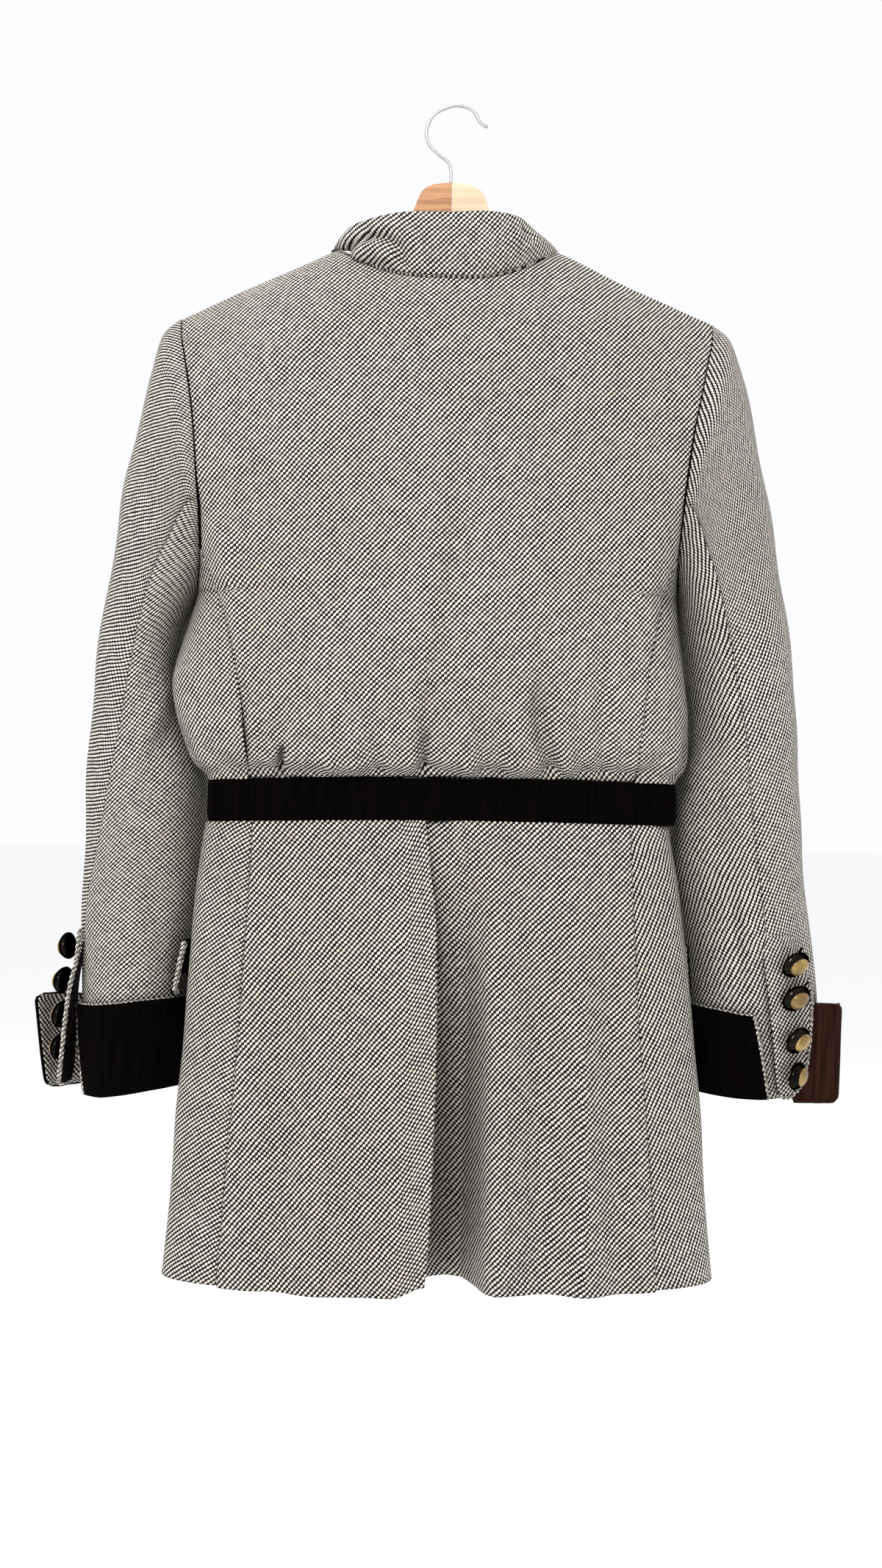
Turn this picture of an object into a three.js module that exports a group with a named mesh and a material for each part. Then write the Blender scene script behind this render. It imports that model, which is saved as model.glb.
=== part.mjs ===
// A tweed blazer hanging on a wooden hanger. Millimetres, +Z up.
// The origin is the inside top of the hanger's hook. The garment's back faces -Y and its front +Y.
// +X is the wearer's right.
import * as THREE from "three";

// ---- driving dimensions ----
const cloth = { wall: 2, seamGap: 0.2, lift: 0.5 };
const neck = { halfWidth: 88.5, backZ: -148, shoulderZ: -115.5, frontZ: -200, curve: 2.6 };
const shoulder = { tipX: 210, tipZ: -170, crownZ: -95, round: 85, levelDepth: 120 };
const armhole = {
  topZ: -170,
  bottomZ: -388,
  halfDepth: 47,
  squareZ: -300,
  seamZ: -356.4,
  seamX: 180,
  fanZ: -438,
};
const waist = {
  topZ: -533,
  height: 33,
  endDrop: 3,
  halfWidth: 185.5,
  seamX: 150,
  backY: -50,
  frontY: 44,
  sideY: -8,
};
const skirt = { hemZ: -931, sideHemZ: -926, hemHalfWidth: 200, cornerLift: 9, cornerWidth: 26 };
const skirtSeamX = { backTop: 147, backHem: 170, frontTop: 124, frontHem: 142 };
const vent = { topX: -12, hemX: -10, underlapX: -36, underlapLift: 4, lapClear: 3 };
const closure = { overlap: 15, lapClear: 3.2, fadeFromX: 60, fadeToX: 25 };
const flap = {
  topZ: -664,
  bottomZ: -707,
  frontLift: 4,
  frontTopX: 90,
  frontBottomX: 60,
  clear: { left: -1.6, right: -0.35 },
  rear: { left: 0.36, right: 0.42 },
  standOff: { left: 10.5, right: 1.5 },
};
const sleeve = { gap: 0.9, gapRings: 1.5, armholeRings: 7 };
const cuff = {
  topZ: -709,
  bottomZ: -781,
  wall: 2.2,
  seat: { bottom: 2.46, top: 1.2 },
  looseFrom: 4,
  looseBy: 4,
  slant: { left: -20, right: 18 },
};
const tongue = { topZ: -655, bottomZ: -783, wall: 2 };
const button = { halfLength: 12.5, halfWidth: 10, height: 7.5, sides: 10, clear: 0.4 };
const stone = { halfLength: 8.5, halfWidth: 6.5, height: 3, clear: 0.3 };
const frontButtonZ = [-250, -355, -460];
const hanger = { thick: 12, endX: 196, joinX: 3, joinGap: 0.15, clear: 5.4, tipTall: 20 };
const wire = { radius: 1.5, sides: 6, steps: 30 };
const sectionPower = 2.6;

// ---- tables: a row for each height or section ----
// outer edge of the armhole on each side
const armholeEdge = [
  { z: -388, left: 195, right: 184 },
  { z: -360, left: 190.5, right: 182.5 },
  { z: -331, left: 190, right: 184 },
  { z: -300, left: 192, right: 187 },
  { z: -265, left: 194.5, right: 191.5 },
  { z: -238, left: 198, right: 197 },
  { z: -208, left: 203.5, right: 203 },
  { z: -189, left: 207.5, right: 207.5 },
  { z: -170, left: 210, right: 210 },
];
// half-widths below the armhole, and how far back and front stand from y = 0
const bodyWidth = [
  { z: -931, left: 218, right: 218 },
  { z: -871, left: 212, right: 212 },
  { z: -816, left: 208.5, right: 208.5 },
  { z: -761, left: 203.5, right: 203.5 },
  { z: -707, left: 200.5, right: 199 },
  { z: -653, left: 197, right: 193 },
  { z: -612, left: 192.5, right: 187 },
  { z: -569, left: 187, right: 181 },
  { z: -566, left: 185.5, right: 181 },
  { z: -536, left: 185.5, right: 185 },
  { z: -524, left: 196, right: 192.5 },
  { z: -514, left: 201, right: 194 },
  { z: -488, left: 209, right: 193.5 },
  { z: -460, left: 213, right: 190.5 },
  { z: -447, left: 211, right: 189 },
  { z: -419, left: 203.5, right: 186.5 },
  { z: -402, left: 198.5, right: 185 },
  { z: -388, left: 195, right: 184 },
  { z: -340, left: 194, right: 187 },
];
const bodyDepth = [
  { z: -931, back: 66, front: 46, side: -4 },
  { z: -850, back: 64, front: 46, side: -4 },
  { z: -750, back: 62, front: 46, side: -4 },
  { z: -650, back: 58, front: 46, side: -5 },
  { z: -600, back: 54, front: 45, side: -6 },
  { z: -569, back: 50, front: 44, side: -7 },
  { z: -533, back: 50, front: 44, side: -8 },
  { z: -522, back: 61, front: 48, side: -10 },
  { z: -505, back: 67, front: 50, side: -12 },
  { z: -460, back: 72, front: 51, side: -12 },
  { z: -430, back: 74, front: 52, side: -8 },
  { z: -388, back: 75, front: 53, side: 0 },
  { z: -320, back: 75, front: 53, side: 0 },
  { z: -250, back: 72, front: 51, side: 0 },
  { z: -190, back: 64, front: 47, side: 0 },
  { z: -148, back: 56, front: 44, side: 0 },
  { z: -95, back: 52, front: 42, side: 0 },
];
// vertical seams beside the back and front panels
const bodiceSeam = [
  { z: -536, back: 150, front: 125 },
  { z: -480, back: 155, front: 132 },
  { z: -438, back: 160, front: 141 },
  { z: -380, back: 171, front: 165 },
  { z: -356, back: 180, front: 180 },
];
const skirtSeam = [
  { z: -931, back: 170, front: 142 },
  { z: -870, back: 166, front: 139 },
  { z: -780, back: 159, front: 135 },
  { z: -700, back: 153, front: 131 },
  { z: -630, back: 149, front: 127 },
  { z: -566, back: 147, front: 124 },
];
// the lapped edge of the left back skirt, and the depth of the trough beside it
const ventEdge = [
  { z: -931, x: -10, depth: 62 },
  { z: -880, x: -6, depth: 55 },
  { z: -830, x: -4, depth: 47 },
  { z: -725, x: -2, depth: 30 },
  { z: -650, x: -3, depth: 15 },
  { z: -600, x: -8, depth: 5 },
  { z: -566, x: -12, depth: 0 },
];
const troughShape = [
  { x: -40, share: 0.3 },
  { x: -20, share: 0.6 },
  { x: -4, share: 0.9 },
  { x: 8, share: 1 },
  { x: 18, share: 0.95 },
  { x: 29, share: 0.55 },
  { x: 38, share: 0.12 },
  { x: 46, share: 0 },
  { x: 60, share: 0.05 },
  { x: 84, share: 0.1 },
  { x: 110, share: 0 },
];
// gathers that run up from the waistband into the back, left to right
const gathers = [
  { x: -166, lean: 4, tall: 55, width: 9, depth: 4 },
  { x: -126, lean: -3, tall: 40, width: 7, depth: 7 },
  { x: -97, lean: 2, tall: 95, width: 8, depth: 5 },
  { x: -52, lean: 5, tall: 60, width: 8, depth: 4 },
  { x: -13, lean: 8, tall: 190, width: 9, depth: 6 },
  { x: 50, lean: 3, tall: 50, width: 8, depth: 3 },
  { x: 78, lean: -8, tall: 80, width: 9, depth: 6 },
  { x: 123, lean: -2, tall: 100, width: 10, depth: 4 },
  { x: 168, lean: -3, tall: 60, width: 9, depth: 4 },
];
// soft folds that run down the skirt
const skirtFolds = [
  { x: -122, width: 16, depth: 5 },
  { x: -60, width: 22, depth: 2.5 },
  { x: 112, width: 16, depth: -4 },
];
// sleeve sections: outer and inner points, half depth and middle, and how far the inner fold reaches in
const sleeveRings = {
  right: [
    { outerX: 210, outerZ: -170, innerX: 184, innerZ: -388, depth: 47, y: 0, tuck: 0 },
    { outerX: 225, outerZ: -182, innerX: 185.4, innerZ: -391, depth: 50, y: 1, tuck: 0 },
    { outerX: 236, outerZ: -214, innerX: 186.8, innerZ: -397, depth: 53, y: 3, tuck: 0 },
    { outerX: 247.5, outerZ: -264, innerX: 188, innerZ: -405, depth: 55, y: 5, tuck: 0 },
    { outerX: 257, outerZ: -301, innerX: 189.2, innerZ: -414, depth: 56, y: 7, tuck: 0 },
    { outerX: 265.7, outerZ: -351, innerX: 190.8, innerZ: -426, depth: 56, y: 9, tuck: 0 },
    { outerX: 273.5, outerZ: -402, innerX: 192.6, innerZ: -441, depth: 54, y: 11, tuck: 0 },
    { outerX: 280.5, outerZ: -451, innerX: 195, innerZ: -463, depth: 52, y: 13, tuck: 2 },
    { outerX: 285, outerZ: -495, innerX: 198.5, innerZ: -495, depth: 50, y: 15, tuck: 2 },
    { outerX: 288, outerZ: -540, innerX: 200, innerZ: -540, depth: 47, y: 18, tuck: 14 },
    { outerX: 289.5, outerZ: -590, innerX: 199, innerZ: -590, depth: 44, y: 22, tuck: 17 },
    { outerX: 291, outerZ: -650, innerX: 200.5, innerZ: -650, depth: 41, y: 26, tuck: 7 },
    { outerX: 292, outerZ: -710, innerX: 204, innerZ: -710, depth: 39, y: 29, tuck: 2 },
    { outerX: 289, outerZ: -779, innerX: 206, innerZ: -777, depth: 38, y: 31, tuck: 5 },
  ],
  left: [
    { outerX: 210, outerZ: -170, innerX: 195, innerZ: -388, depth: 47, y: 0, tuck: 0 },
    { outerX: 225, outerZ: -182, innerX: 196.5, innerZ: -391, depth: 50, y: 1, tuck: 0 },
    { outerX: 236, outerZ: -214, innerX: 199, innerZ: -396, depth: 53, y: 4, tuck: 0 },
    { outerX: 247.5, outerZ: -264, innerX: 202, innerZ: -403, depth: 55, y: 7, tuck: 0 },
    { outerX: 257, outerZ: -301, innerX: 205, innerZ: -411, depth: 56, y: 10, tuck: 0 },
    { outerX: 265.7, outerZ: -351, innerX: 208, innerZ: -422, depth: 56, y: 13, tuck: 0 },
    { outerX: 273.5, outerZ: -402, innerX: 209.5, innerZ: -437, depth: 54, y: 17, tuck: 0 },
    { outerX: 280.5, outerZ: -451, innerX: 209, innerZ: -460, depth: 51, y: 22, tuck: 0 },
    { outerX: 285, outerZ: -495, innerX: 205, innerZ: -495, depth: 48, y: 25, tuck: 4 },
    { outerX: 288, outerZ: -540, innerX: 201, innerZ: -540, depth: 46, y: 27, tuck: 13 },
    { outerX: 289.5, outerZ: -590, innerX: 200, innerZ: -590, depth: 44, y: 28, tuck: 13 },
    { outerX: 291, outerZ: -650, innerX: 203, innerZ: -650, depth: 41, y: 30, tuck: 10 },
    { outerX: 290, outerZ: -710, innerX: 206, innerZ: -710, depth: 39, y: 31, tuck: 7 },
    { outerX: 288, outerZ: -779, innerX: 206, innerZ: -777, depth: 38, y: 32, tuck: 8 },
  ],
};
// angle of the back-arm and front-arm seams round the sleeve, from its outer point, down the rings
const sleeveSeam = {
  right: [
    { ring: 0, back: 112, front: 238 },
    { ring: 6, back: 104, front: 238 },
    { ring: 9, back: 92, front: 238 },
    { ring: 11, back: 75, front: 238 },
    { ring: 13, back: 57, front: 238 },
  ],
  left: [
    { ring: 0, back: 112, front: 232 },
    { ring: 6, back: 94, front: 220 },
    { ring: 9, back: 64, front: 205 },
    { ring: 11, back: 30, front: 190 },
    { ring: 13, back: 8, front: 180 },
  ],
};
// the cuffs in plan, from the end behind the vent round the arm to the open end
const cuffPlan = {
  right: [
    { angle: 80, off: 3.2, lean: 0, topDrop: 9.5, bottomDrop: 4.5 },
    { angle: 98, off: 3.2, lean: 0, topDrop: 8.5, bottomDrop: 4 },
    { angle: 120, off: 3.2, lean: 0, topDrop: 6, bottomDrop: 2.5 },
    { angle: 150, off: 3, lean: 0, topDrop: 3.5, bottomDrop: 0.8 },
    { angle: 180, off: 3, lean: 0, topDrop: 2, bottomDrop: 0 },
    { angle: 210, off: 3.2, lean: 0, topDrop: 2, bottomDrop: 0 },
    { angle: 240, off: 3.5, lean: 0, topDrop: 2, bottomDrop: 1 },
    { angle: 270, off: 4, lean: 0, topDrop: 2, bottomDrop: 3 },
    { angle: 300, off: 6, lean: 1, topDrop: 1, bottomDrop: 5 },
    { angle: 325, off: 14, lean: 2, topDrop: 1, bottomDrop: 6 },
    { angle: 345, off: 26, lean: 2, topDrop: 1, bottomDrop: 6 },
    { angle: 358, off: 33, lean: 2, topDrop: 1.5, bottomDrop: 6 },
    { angle: 368, off: 32, lean: 2, topDrop: 2, bottomDrop: 6 },
    { angle: 378, off: 20, lean: 1, topDrop: 2, bottomDrop: 6 },
    { angle: 388, off: 9, lean: 0, topDrop: 2, bottomDrop: 5 },
    { angle: 396, off: 4, lean: 0, topDrop: 2, bottomDrop: 5 },
  ],
  left: [
    { angle: 24, off: 3.4, lean: 0, topDrop: 9, bottomDrop: 9.5 },
    { angle: 50, off: 3.2, lean: 0, topDrop: 8, bottomDrop: 9.5 },
    { angle: 80, off: 3.2, lean: 0, topDrop: 5.5, bottomDrop: 7 },
    { angle: 110, off: 3.2, lean: 0, topDrop: 2.5, bottomDrop: 3 },
    { angle: 140, off: 3, lean: 0, topDrop: 1, bottomDrop: 0 },
    { angle: 170, off: 3, lean: 0, topDrop: 0, bottomDrop: -2 },
    { angle: 200, off: 3.2, lean: 0, topDrop: 0, bottomDrop: -2 },
    { angle: 230, off: 3.4, lean: 0, topDrop: 1, bottomDrop: 0 },
    { angle: 260, off: 3.6, lean: 0, topDrop: 3, bottomDrop: 2 },
    { angle: 290, off: 4, lean: 0, topDrop: 5, bottomDrop: 5 },
    { angle: 312, off: 8, lean: 2, topDrop: 7, bottomDrop: 7 },
    { angle: 330, off: 17, lean: 5, topDrop: 8, bottomDrop: 8 },
    { angle: 344, off: 28, lean: 9, topDrop: 8.5, bottomDrop: 9 },
    { angle: 354, off: 35, lean: 15, topDrop: 8.5, bottomDrop: 9 },
  ],
};
// the button tongues in plan: the vent edge, the front edge and the bow between them
const tongueRows = {
  right: [
    { z: -783, ventX: 272, ventY: -9, frontX: 282, frontY: -3, bow: 0.5 },
    { z: -773, ventX: 268.5, ventY: -10, frontX: 290, frontY: 0, bow: 1 },
    { z: -760, ventX: 267, ventY: -11, frontX: 293.5, frontY: 1, bow: 1 },
    { z: -735, ventX: 264.5, ventY: -12.5, frontX: 296.5, frontY: 3, bow: 1 },
    { z: -709, ventX: 261, ventY: -14, frontX: 297.5, frontY: 4, bow: 2 },
    { z: -680, ventX: 257, ventY: -15.6, frontX: 293, frontY: 4.4, bow: 4 },
    { z: -655, ventX: 254.5, ventY: -16.7, frontX: 287.5, frontY: 5, bow: 6.5 },
  ],
  left: [
    { z: -783, ventX: 307, ventY: 19, frontX: 301, frontY: 33, bow: 0.3 },
    { z: -773, ventX: 305, ventY: 12, frontX: 300, frontY: 40, bow: 0.6 },
    { z: -760, ventX: 303, ventY: 9, frontX: 300, frontY: 44, bow: 0.6 },
    { z: -733, ventX: 300.5, ventY: 9, frontX: 299.5, frontY: 46, bow: 1 },
    { z: -706, ventX: 297, ventY: 9, frontX: 298, frontY: 46, bow: 1.5 },
    { z: -680, ventX: 291.6, ventY: 10, frontX: 294.6, frontY: 46, bow: 2 },
    { z: -655, ventX: 289.4, ventY: 12, frontX: 292, frontY: 44, bow: 2.5 },
  ],
};
const buttonPlace = {
  right: [
    { z: -676.5, share: 0.62, tiltX: 0.25, tiltZ: -0.35 },
    { z: -703.5, share: 0.45, tiltX: 0.25, tiltZ: -0.3 },
    { z: -737, share: 0.53, tiltX: 0.1, tiltZ: 0 },
    { z: -765, share: 0.55, tiltX: 0, tiltZ: 0 },
  ],
  left: [
    { z: -673.5, share: 0.45, tiltX: 0, tiltZ: -0.25 },
    { z: -702.5, share: 0.45, tiltX: 0, tiltZ: -0.1 },
    { z: -728.5, share: 0.45, tiltX: 0, tiltZ: 0 },
    { z: -754, share: 0.45, tiltX: 0, tiltZ: 0 },
  ],
};
// top edge of the collar, by angle from the centre back: + is the wearer's right
const collarTop = [
  { angle: -180, x: -7, y: 49, z: -166 },
  { angle: -150, x: -44, y: 42, z: -156 },
  { angle: -120, x: -76, y: 26, z: -134 },
  { angle: -95, x: -87, y: 4, z: -117 },
  { angle: -78, x: -84, y: -14, z: -108 },
  { angle: -60, x: -73, y: -32, z: -102 },
  { angle: -40, x: -56, y: -45, z: -100 },
  { angle: -20, x: -30, y: -53, z: -98 },
  { angle: 0, x: 0, y: -55, z: -98 },
  { angle: 20, x: 28, y: -54, z: -97 },
  { angle: 40, x: 51, y: -47, z: -98 },
  { angle: 60, x: 63, y: -33, z: -100 },
  { angle: 78, x: 69, y: -15, z: -103 },
  { angle: 95, x: 73, y: 4, z: -110 },
  { angle: 120, x: 68, y: 24, z: -130 },
  { angle: 150, x: 42, y: 41, z: -154 },
  { angle: 180, x: 7, y: 49, z: -166 },
];
// wire hook, from the neck block up and over to the turned-out tip
const hookPath = [
  { x: 2.1, z: -59.6 },
  { x: 2.1, z: -50 },
  { x: 0.3, z: -42.9 },
  { x: -8, z: -36 },
  { x: -14.6, z: -29.7 },
  { x: -17.8, z: -20 },
  { x: -16.4, z: -11.6 },
  { x: -11.6, z: -4.2 },
  { x: -1.8, z: 1.3 },
  { x: 7.3, z: 3.2 },
  { x: 15.5, z: 1.1 },
  { x: 21.2, z: -3.4 },
  { x: 25, z: -10 },
  { x: 31.1, z: -14.2 },
];

const paint = {
  tweed: new THREE.MeshStandardMaterial({ color: 0xa39a8e, roughness: 0.95 }),
  velvet: new THREE.MeshStandardMaterial({ color: 0x160f0c, roughness: 0.9 }),
  black: new THREE.MeshStandardMaterial({ color: 0x0b0a0a, roughness: 0.15 }),
  amber: new THREE.MeshStandardMaterial({ color: 0xa9822f, roughness: 0.2 }),
  beech: new THREE.MeshStandardMaterial({ color: 0xd19a66, roughness: 0.5 }),
  paleWood: new THREE.MeshStandardMaterial({ color: 0xecd9bd, roughness: 0.5 }),
  steel: new THREE.MeshStandardMaterial({ color: 0x9b9b9b, roughness: 0.3, metalness: 1 }),
};

// ---- small maths ----
const clamp = (value, low, high) => Math.min(high, Math.max(low, value));
const mix = (a, b, share) => a + (b - a) * share;
const ease = (share) => share * share * (3 - 2 * share);
const ramp = (value, from, to) => ease(clamp((value - from) / (to - from), 0, 1));
const bell = (distance, width) => Math.exp(-(distance * distance) / (width * width));
const radians = (degrees) => (degrees * Math.PI) / 180;

// Smooth value of one column of a table, without overshoot between its rows.
function look(rows, key, at, column) {
  const last = rows.length - 1;
  if (at <= rows[0][key]) return rows[0][column];
  if (at >= rows[last][key]) return rows[last][column];
  let i = 0;
  while (at > rows[i + 1][key]) i += 1;
  const step = (k) => rows[k + 1][key] - rows[k][key];
  const slope = (k) => (rows[k + 1][column] - rows[k][column]) / step(k);
  const tangent = (k) => {
    if (k === 0) return slope(0);
    if (k === last) return slope(last - 1);
    const before = slope(k - 1);
    const after = slope(k);
    return before * after <= 0 ? 0 : (2 * before * after) / (before + after);
  };
  const h = step(i);
  const t = (at - rows[i][key]) / h;
  const a = rows[i][column];
  const b = rows[i + 1][column];
  const cubic = (2 * t ** 3 - 3 * t ** 2 + 1) * a + (3 * t ** 2 - 2 * t ** 3) * b;
  return cubic + h * ((t ** 3 - 2 * t ** 2 + t) * tangent(i) + (t ** 3 - t ** 2) * tangent(i + 1));
}

// ---- cloth walls ----
// A closed wall from a grid of outer points. Seen from outside, u runs right and v runs up.
function clothWall(name, material, columns, rows, outerAt, wall = cloth.wall, trim = cloth.seamGap) {
  const outer = [];
  for (let i = 0; i <= columns; i += 1) {
    const line = [];
    for (let j = 0; j <= rows; j += 1) line.push(outerAt(i / columns, j / rows));
    outer.push(line);
  }
  const towards = (point, next) => point.clone().add(next.clone().sub(point).setLength(trim));
  for (let j = 0; j <= rows; j += 1) {
    outer[0][j] = towards(outer[0][j], outer[1][j]);
    outer[columns][j] = towards(outer[columns][j], outer[columns - 1][j]);
  }
  for (let i = 0; i <= columns; i += 1) {
    outer[i][0] = towards(outer[i][0], outer[i][1]);
    outer[i][rows] = towards(outer[i][rows], outer[i][rows - 1]);
  }
  const tiny = 1e-3;
  const normalAt = (i, j) => {
    const u = i / columns;
    const v = j / rows;
    const du = outerAt(Math.min(u + tiny, 1), v).sub(outerAt(Math.max(u - tiny, 0), v));
    const dv = outerAt(u, Math.min(v + tiny, 1)).sub(outerAt(u, Math.max(v - tiny, 0)));
    return du.cross(dv).normalize();
  };
  const inner = outer.map((line, i) => line.map((p, j) => p.clone().addScaledVector(normalAt(i, j), -wall)));
  const points = [];
  const index = [];
  const numberOf = (side, i, j) => side * (columns + 1) * (rows + 1) + i * (rows + 1) + j;
  for (const face of [outer, inner]) {
    for (const line of face) for (const p of line) points.push(p.x, p.y, p.z);
  }
  const quad = (a, b, c, d) => index.push(a, b, c, a, c, d);
  for (let i = 0; i < columns; i += 1) {
    for (let j = 0; j < rows; j += 1) {
      quad(numberOf(0, i, j), numberOf(0, i + 1, j), numberOf(0, i + 1, j + 1), numberOf(0, i, j + 1));
      quad(numberOf(1, i, j), numberOf(1, i, j + 1), numberOf(1, i + 1, j + 1), numberOf(1, i + 1, j));
    }
  }
  for (let i = 0; i < columns; i += 1) {
    quad(numberOf(0, i, 0), numberOf(1, i, 0), numberOf(1, i + 1, 0), numberOf(0, i + 1, 0));
    quad(numberOf(0, i, rows), numberOf(0, i + 1, rows), numberOf(1, i + 1, rows), numberOf(1, i, rows));
  }
  for (let j = 0; j < rows; j += 1) {
    quad(numberOf(0, 0, j), numberOf(0, 0, j + 1), numberOf(1, 0, j + 1), numberOf(1, 0, j));
    const [near, far] = [numberOf(0, columns, j), numberOf(1, columns, j)];
    quad(near, far, far + 1, near + 1);
  }
  return meshOf(name, material, points, index);
}

function meshOf(name, material, points, index) {
  const geometry = new THREE.BufferGeometry();
  geometry.setAttribute("position", new THREE.Float32BufferAttribute(points, 3));
  geometry.setIndex(index);
  geometry.computeVertexNormals();
  const mesh = new THREE.Mesh(geometry, material);
  mesh.name = name;
  return mesh;
}

// ---- the body's surface ----
const sideName = (x) => (x < 0 ? "left" : "right");
const edgeOf = (z, side) =>
  z > armhole.bottomZ ? look(armholeEdge, "z", z, side) : look(bodyWidth, "z", z, side);

// Height of the shoulder line, carried on over the neck.
function shoulderLine(x) {
  const out = Math.abs(x);
  if (out < neck.halfWidth) return mix(shoulder.crownZ, neck.shoulderZ, out / neck.halfWidth);
  return mix(neck.shoulderZ, shoulder.tipZ, (out - neck.halfWidth) / (shoulder.tipX - neck.halfWidth));
}

const backNeckLine = (x) =>
  mix(neck.backZ, neck.shoulderZ, Math.min(Math.abs(x) / neck.halfWidth, 1) ** neck.curve);
const frontNeckLine = (x) =>
  neck.shoulderZ + (neck.frontZ - neck.shoulderZ) * (1 - (Math.abs(x) / neck.halfWidth) ** 2) ** 0.75;

function armholeDepth(z) {
  const middle = (armhole.topZ + armhole.bottomZ) / 2;
  const half = (armhole.topZ - armhole.bottomZ) / 2;
  return armhole.halfDepth * Math.sqrt(Math.max(0, 1 - ((z - middle) / half) ** 2));
}

// Depth of the back (face -1) or front (face 1) at a place.
function bodyY(x, z, face) {
  const side = sideName(x);
  const share = Math.min(Math.abs(x) / edgeOf(z, side), 1);
  const full = look(bodyDepth, "z", z, face < 0 ? "back" : "front");
  const fall = clamp((shoulderLine(x) - z) / shoulder.round, 0, 1);
  const rounded = full * Math.sqrt(1 - (1 - fall) ** 2);
  // near the shoulder line the edge is as rounded as the top of the armhole
  const below = shoulderLine(x) - z;
  const level = z - (shoulderLine(x) - shoulder.tipZ) * clamp(1 - below / shoulder.levelDepth, 0, 1);
  const edge = z > armhole.bottomZ ? face * armholeDepth(level) : look(bodyDepth, "z", z, "side");
  const root = mix(1, sectionPower, ramp(z, armhole.squareZ, armhole.bottomZ));
  const crown = (1 - share ** sectionPower) ** (1 / root);
  return edge + (face * rounded - edge) * crown;
}

function gatherDepth(x, z) {
  let depth = 0;
  for (const fold of gathers) {
    const up = (z - waist.topZ) / fold.tall;
    if (up >= 1.4) continue;
    const fade = up < 0 ? 1 : (1 - up / 1.4) ** 1.5;
    depth += fold.depth * fade * bell(x - fold.x - fold.lean * up, fold.width * (1 + 0.8 * Math.max(up, 0)));
  }
  return depth * ramp(z, waist.topZ - 1, waist.topZ + 9);
}

const bandTop = (x) => waist.topZ - waist.endDrop * (x / waist.halfWidth) ** 2;
const bandBottom = (x) => bandTop(x) - waist.height;

// Place of a vertical seam of the bodice; it ends on the armhole.
function bodiceSeamX(z, side, face) {
  const base = look(bodiceSeam, "z", z, face < 0 ? "back" : "front");
  const reach = look(armholeEdge, "z", armhole.seamZ, side) - armhole.seamX;
  return base + reach * ramp(z, armhole.fanZ, armhole.seamZ);
}
const bodiceEdgeX = (z, side, face) =>
  z > armhole.seamZ ? look(armholeEdge, "z", z, side) : bodiceSeamX(z, side, face);
const topOfColumn = (share, face) => {
  const x = share * shoulder.tipX;
  if (x >= neck.halfWidth) return shoulderLine(x);
  return face < 0 ? backNeckLine(x) : frontNeckLine(x);
};
// Height of a row: the top four follow the rounding of the shoulder.
function rowZ(v, rows, bottom, top) {
  const fromTop = (1 - v) * rows;
  const drop = (count) => shoulder.round * (1 - Math.cos(radians(18 * count)));
  if (fromTop < 4) return top - drop(fromTop);
  return mix(bottom, top - drop(4), (v * rows) / (rows - 4));
}

function backPanel() {
  const rows = 16;
  return clothWall("back", paint.tweed, 28, rows, (u, v) => {
    const across = u * 2 - 1;
    const side = sideName(across);
    const share = Math.abs(across) ** 0.9;
    const bottom = bandTop(share * bodiceSeamX(waist.topZ, side, -1));
    const z = rowZ(v, rows, bottom, topOfColumn(share, -1));
    const x = Math.sign(across) * share * bodiceEdgeX(z, side, -1);
    return new THREE.Vector3(x, bodyY(x, z, -1) + gatherDepth(x, z), z);
  });
}

// How far the left front lies inward where the right front laps over it.
function lapInward(side, x) {
  if (side === "right") return 0;
  return closure.lapClear * ramp(Math.abs(x), closure.fadeFromX, closure.fadeToX);
}

function frontPanel(side) {
  const sign = side === "left" ? -1 : 1;
  const rows = 16;
  return clothWall("front_" + side, paint.tweed, 10, rows, (u, v) => {
    const share = side === "left" ? u : 1 - u;
    const start = -closure.overlap / shoulder.tipX;
    const along = mix(start, 1, share);
    const bottom = bandTop(along * bodiceSeamX(waist.topZ, side, 1));
    const z = rowZ(v, rows, bottom, topOfColumn(Math.abs(along), 1));
    const x = sign * along * bodiceEdgeX(z, side, 1);
    return new THREE.Vector3(x, bodyY(x, z, 1) - lapInward(side, x), z);
  });
}

// Point on the body's section at a height, from the back seam (w = 0) round the side to the front seam.
function sidePoint(w, z, side, seamBack, seamFront) {
  const sign = side === "left" ? -1 : 1;
  const half = look(bodyWidth, "z", z, side);
  const middle = look(bodyDepth, "z", z, "side");
  const backDeep = look(bodyDepth, "z", z, "back") + middle;
  const frontDeep = look(bodyDepth, "z", z, "front") - middle;
  const angleOf = (x) => Math.asin(Math.min(1, (x / half) ** (sectionPower / 2)));
  const pointAt = (angle) => {
    const deep = Math.cos(angle) >= 0 ? backDeep : frontDeep;
    const x = half * Math.abs(Math.sin(angle)) ** (2 / sectionPower);
    const y = middle - Math.sign(Math.cos(angle)) * deep * Math.abs(Math.cos(angle)) ** (2 / sectionPower);
    return new THREE.Vector3(sign * x, y, z);
  };
  const from = angleOf(seamBack);
  const to = Math.PI - angleOf(seamFront);
  const point = pointAt(mix(from, to, w));
  const atBack = new THREE.Vector3(sign * seamBack, bodyY(sign * seamBack, z, -1), z);
  const atFront = new THREE.Vector3(sign * seamFront, bodyY(sign * seamFront, z, 1), z);
  point.addScaledVector(atBack.sub(pointAt(from)), (1 - w) ** 2);
  point.addScaledVector(atFront.sub(pointAt(to)), w ** 2);
  return point;
}

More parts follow.
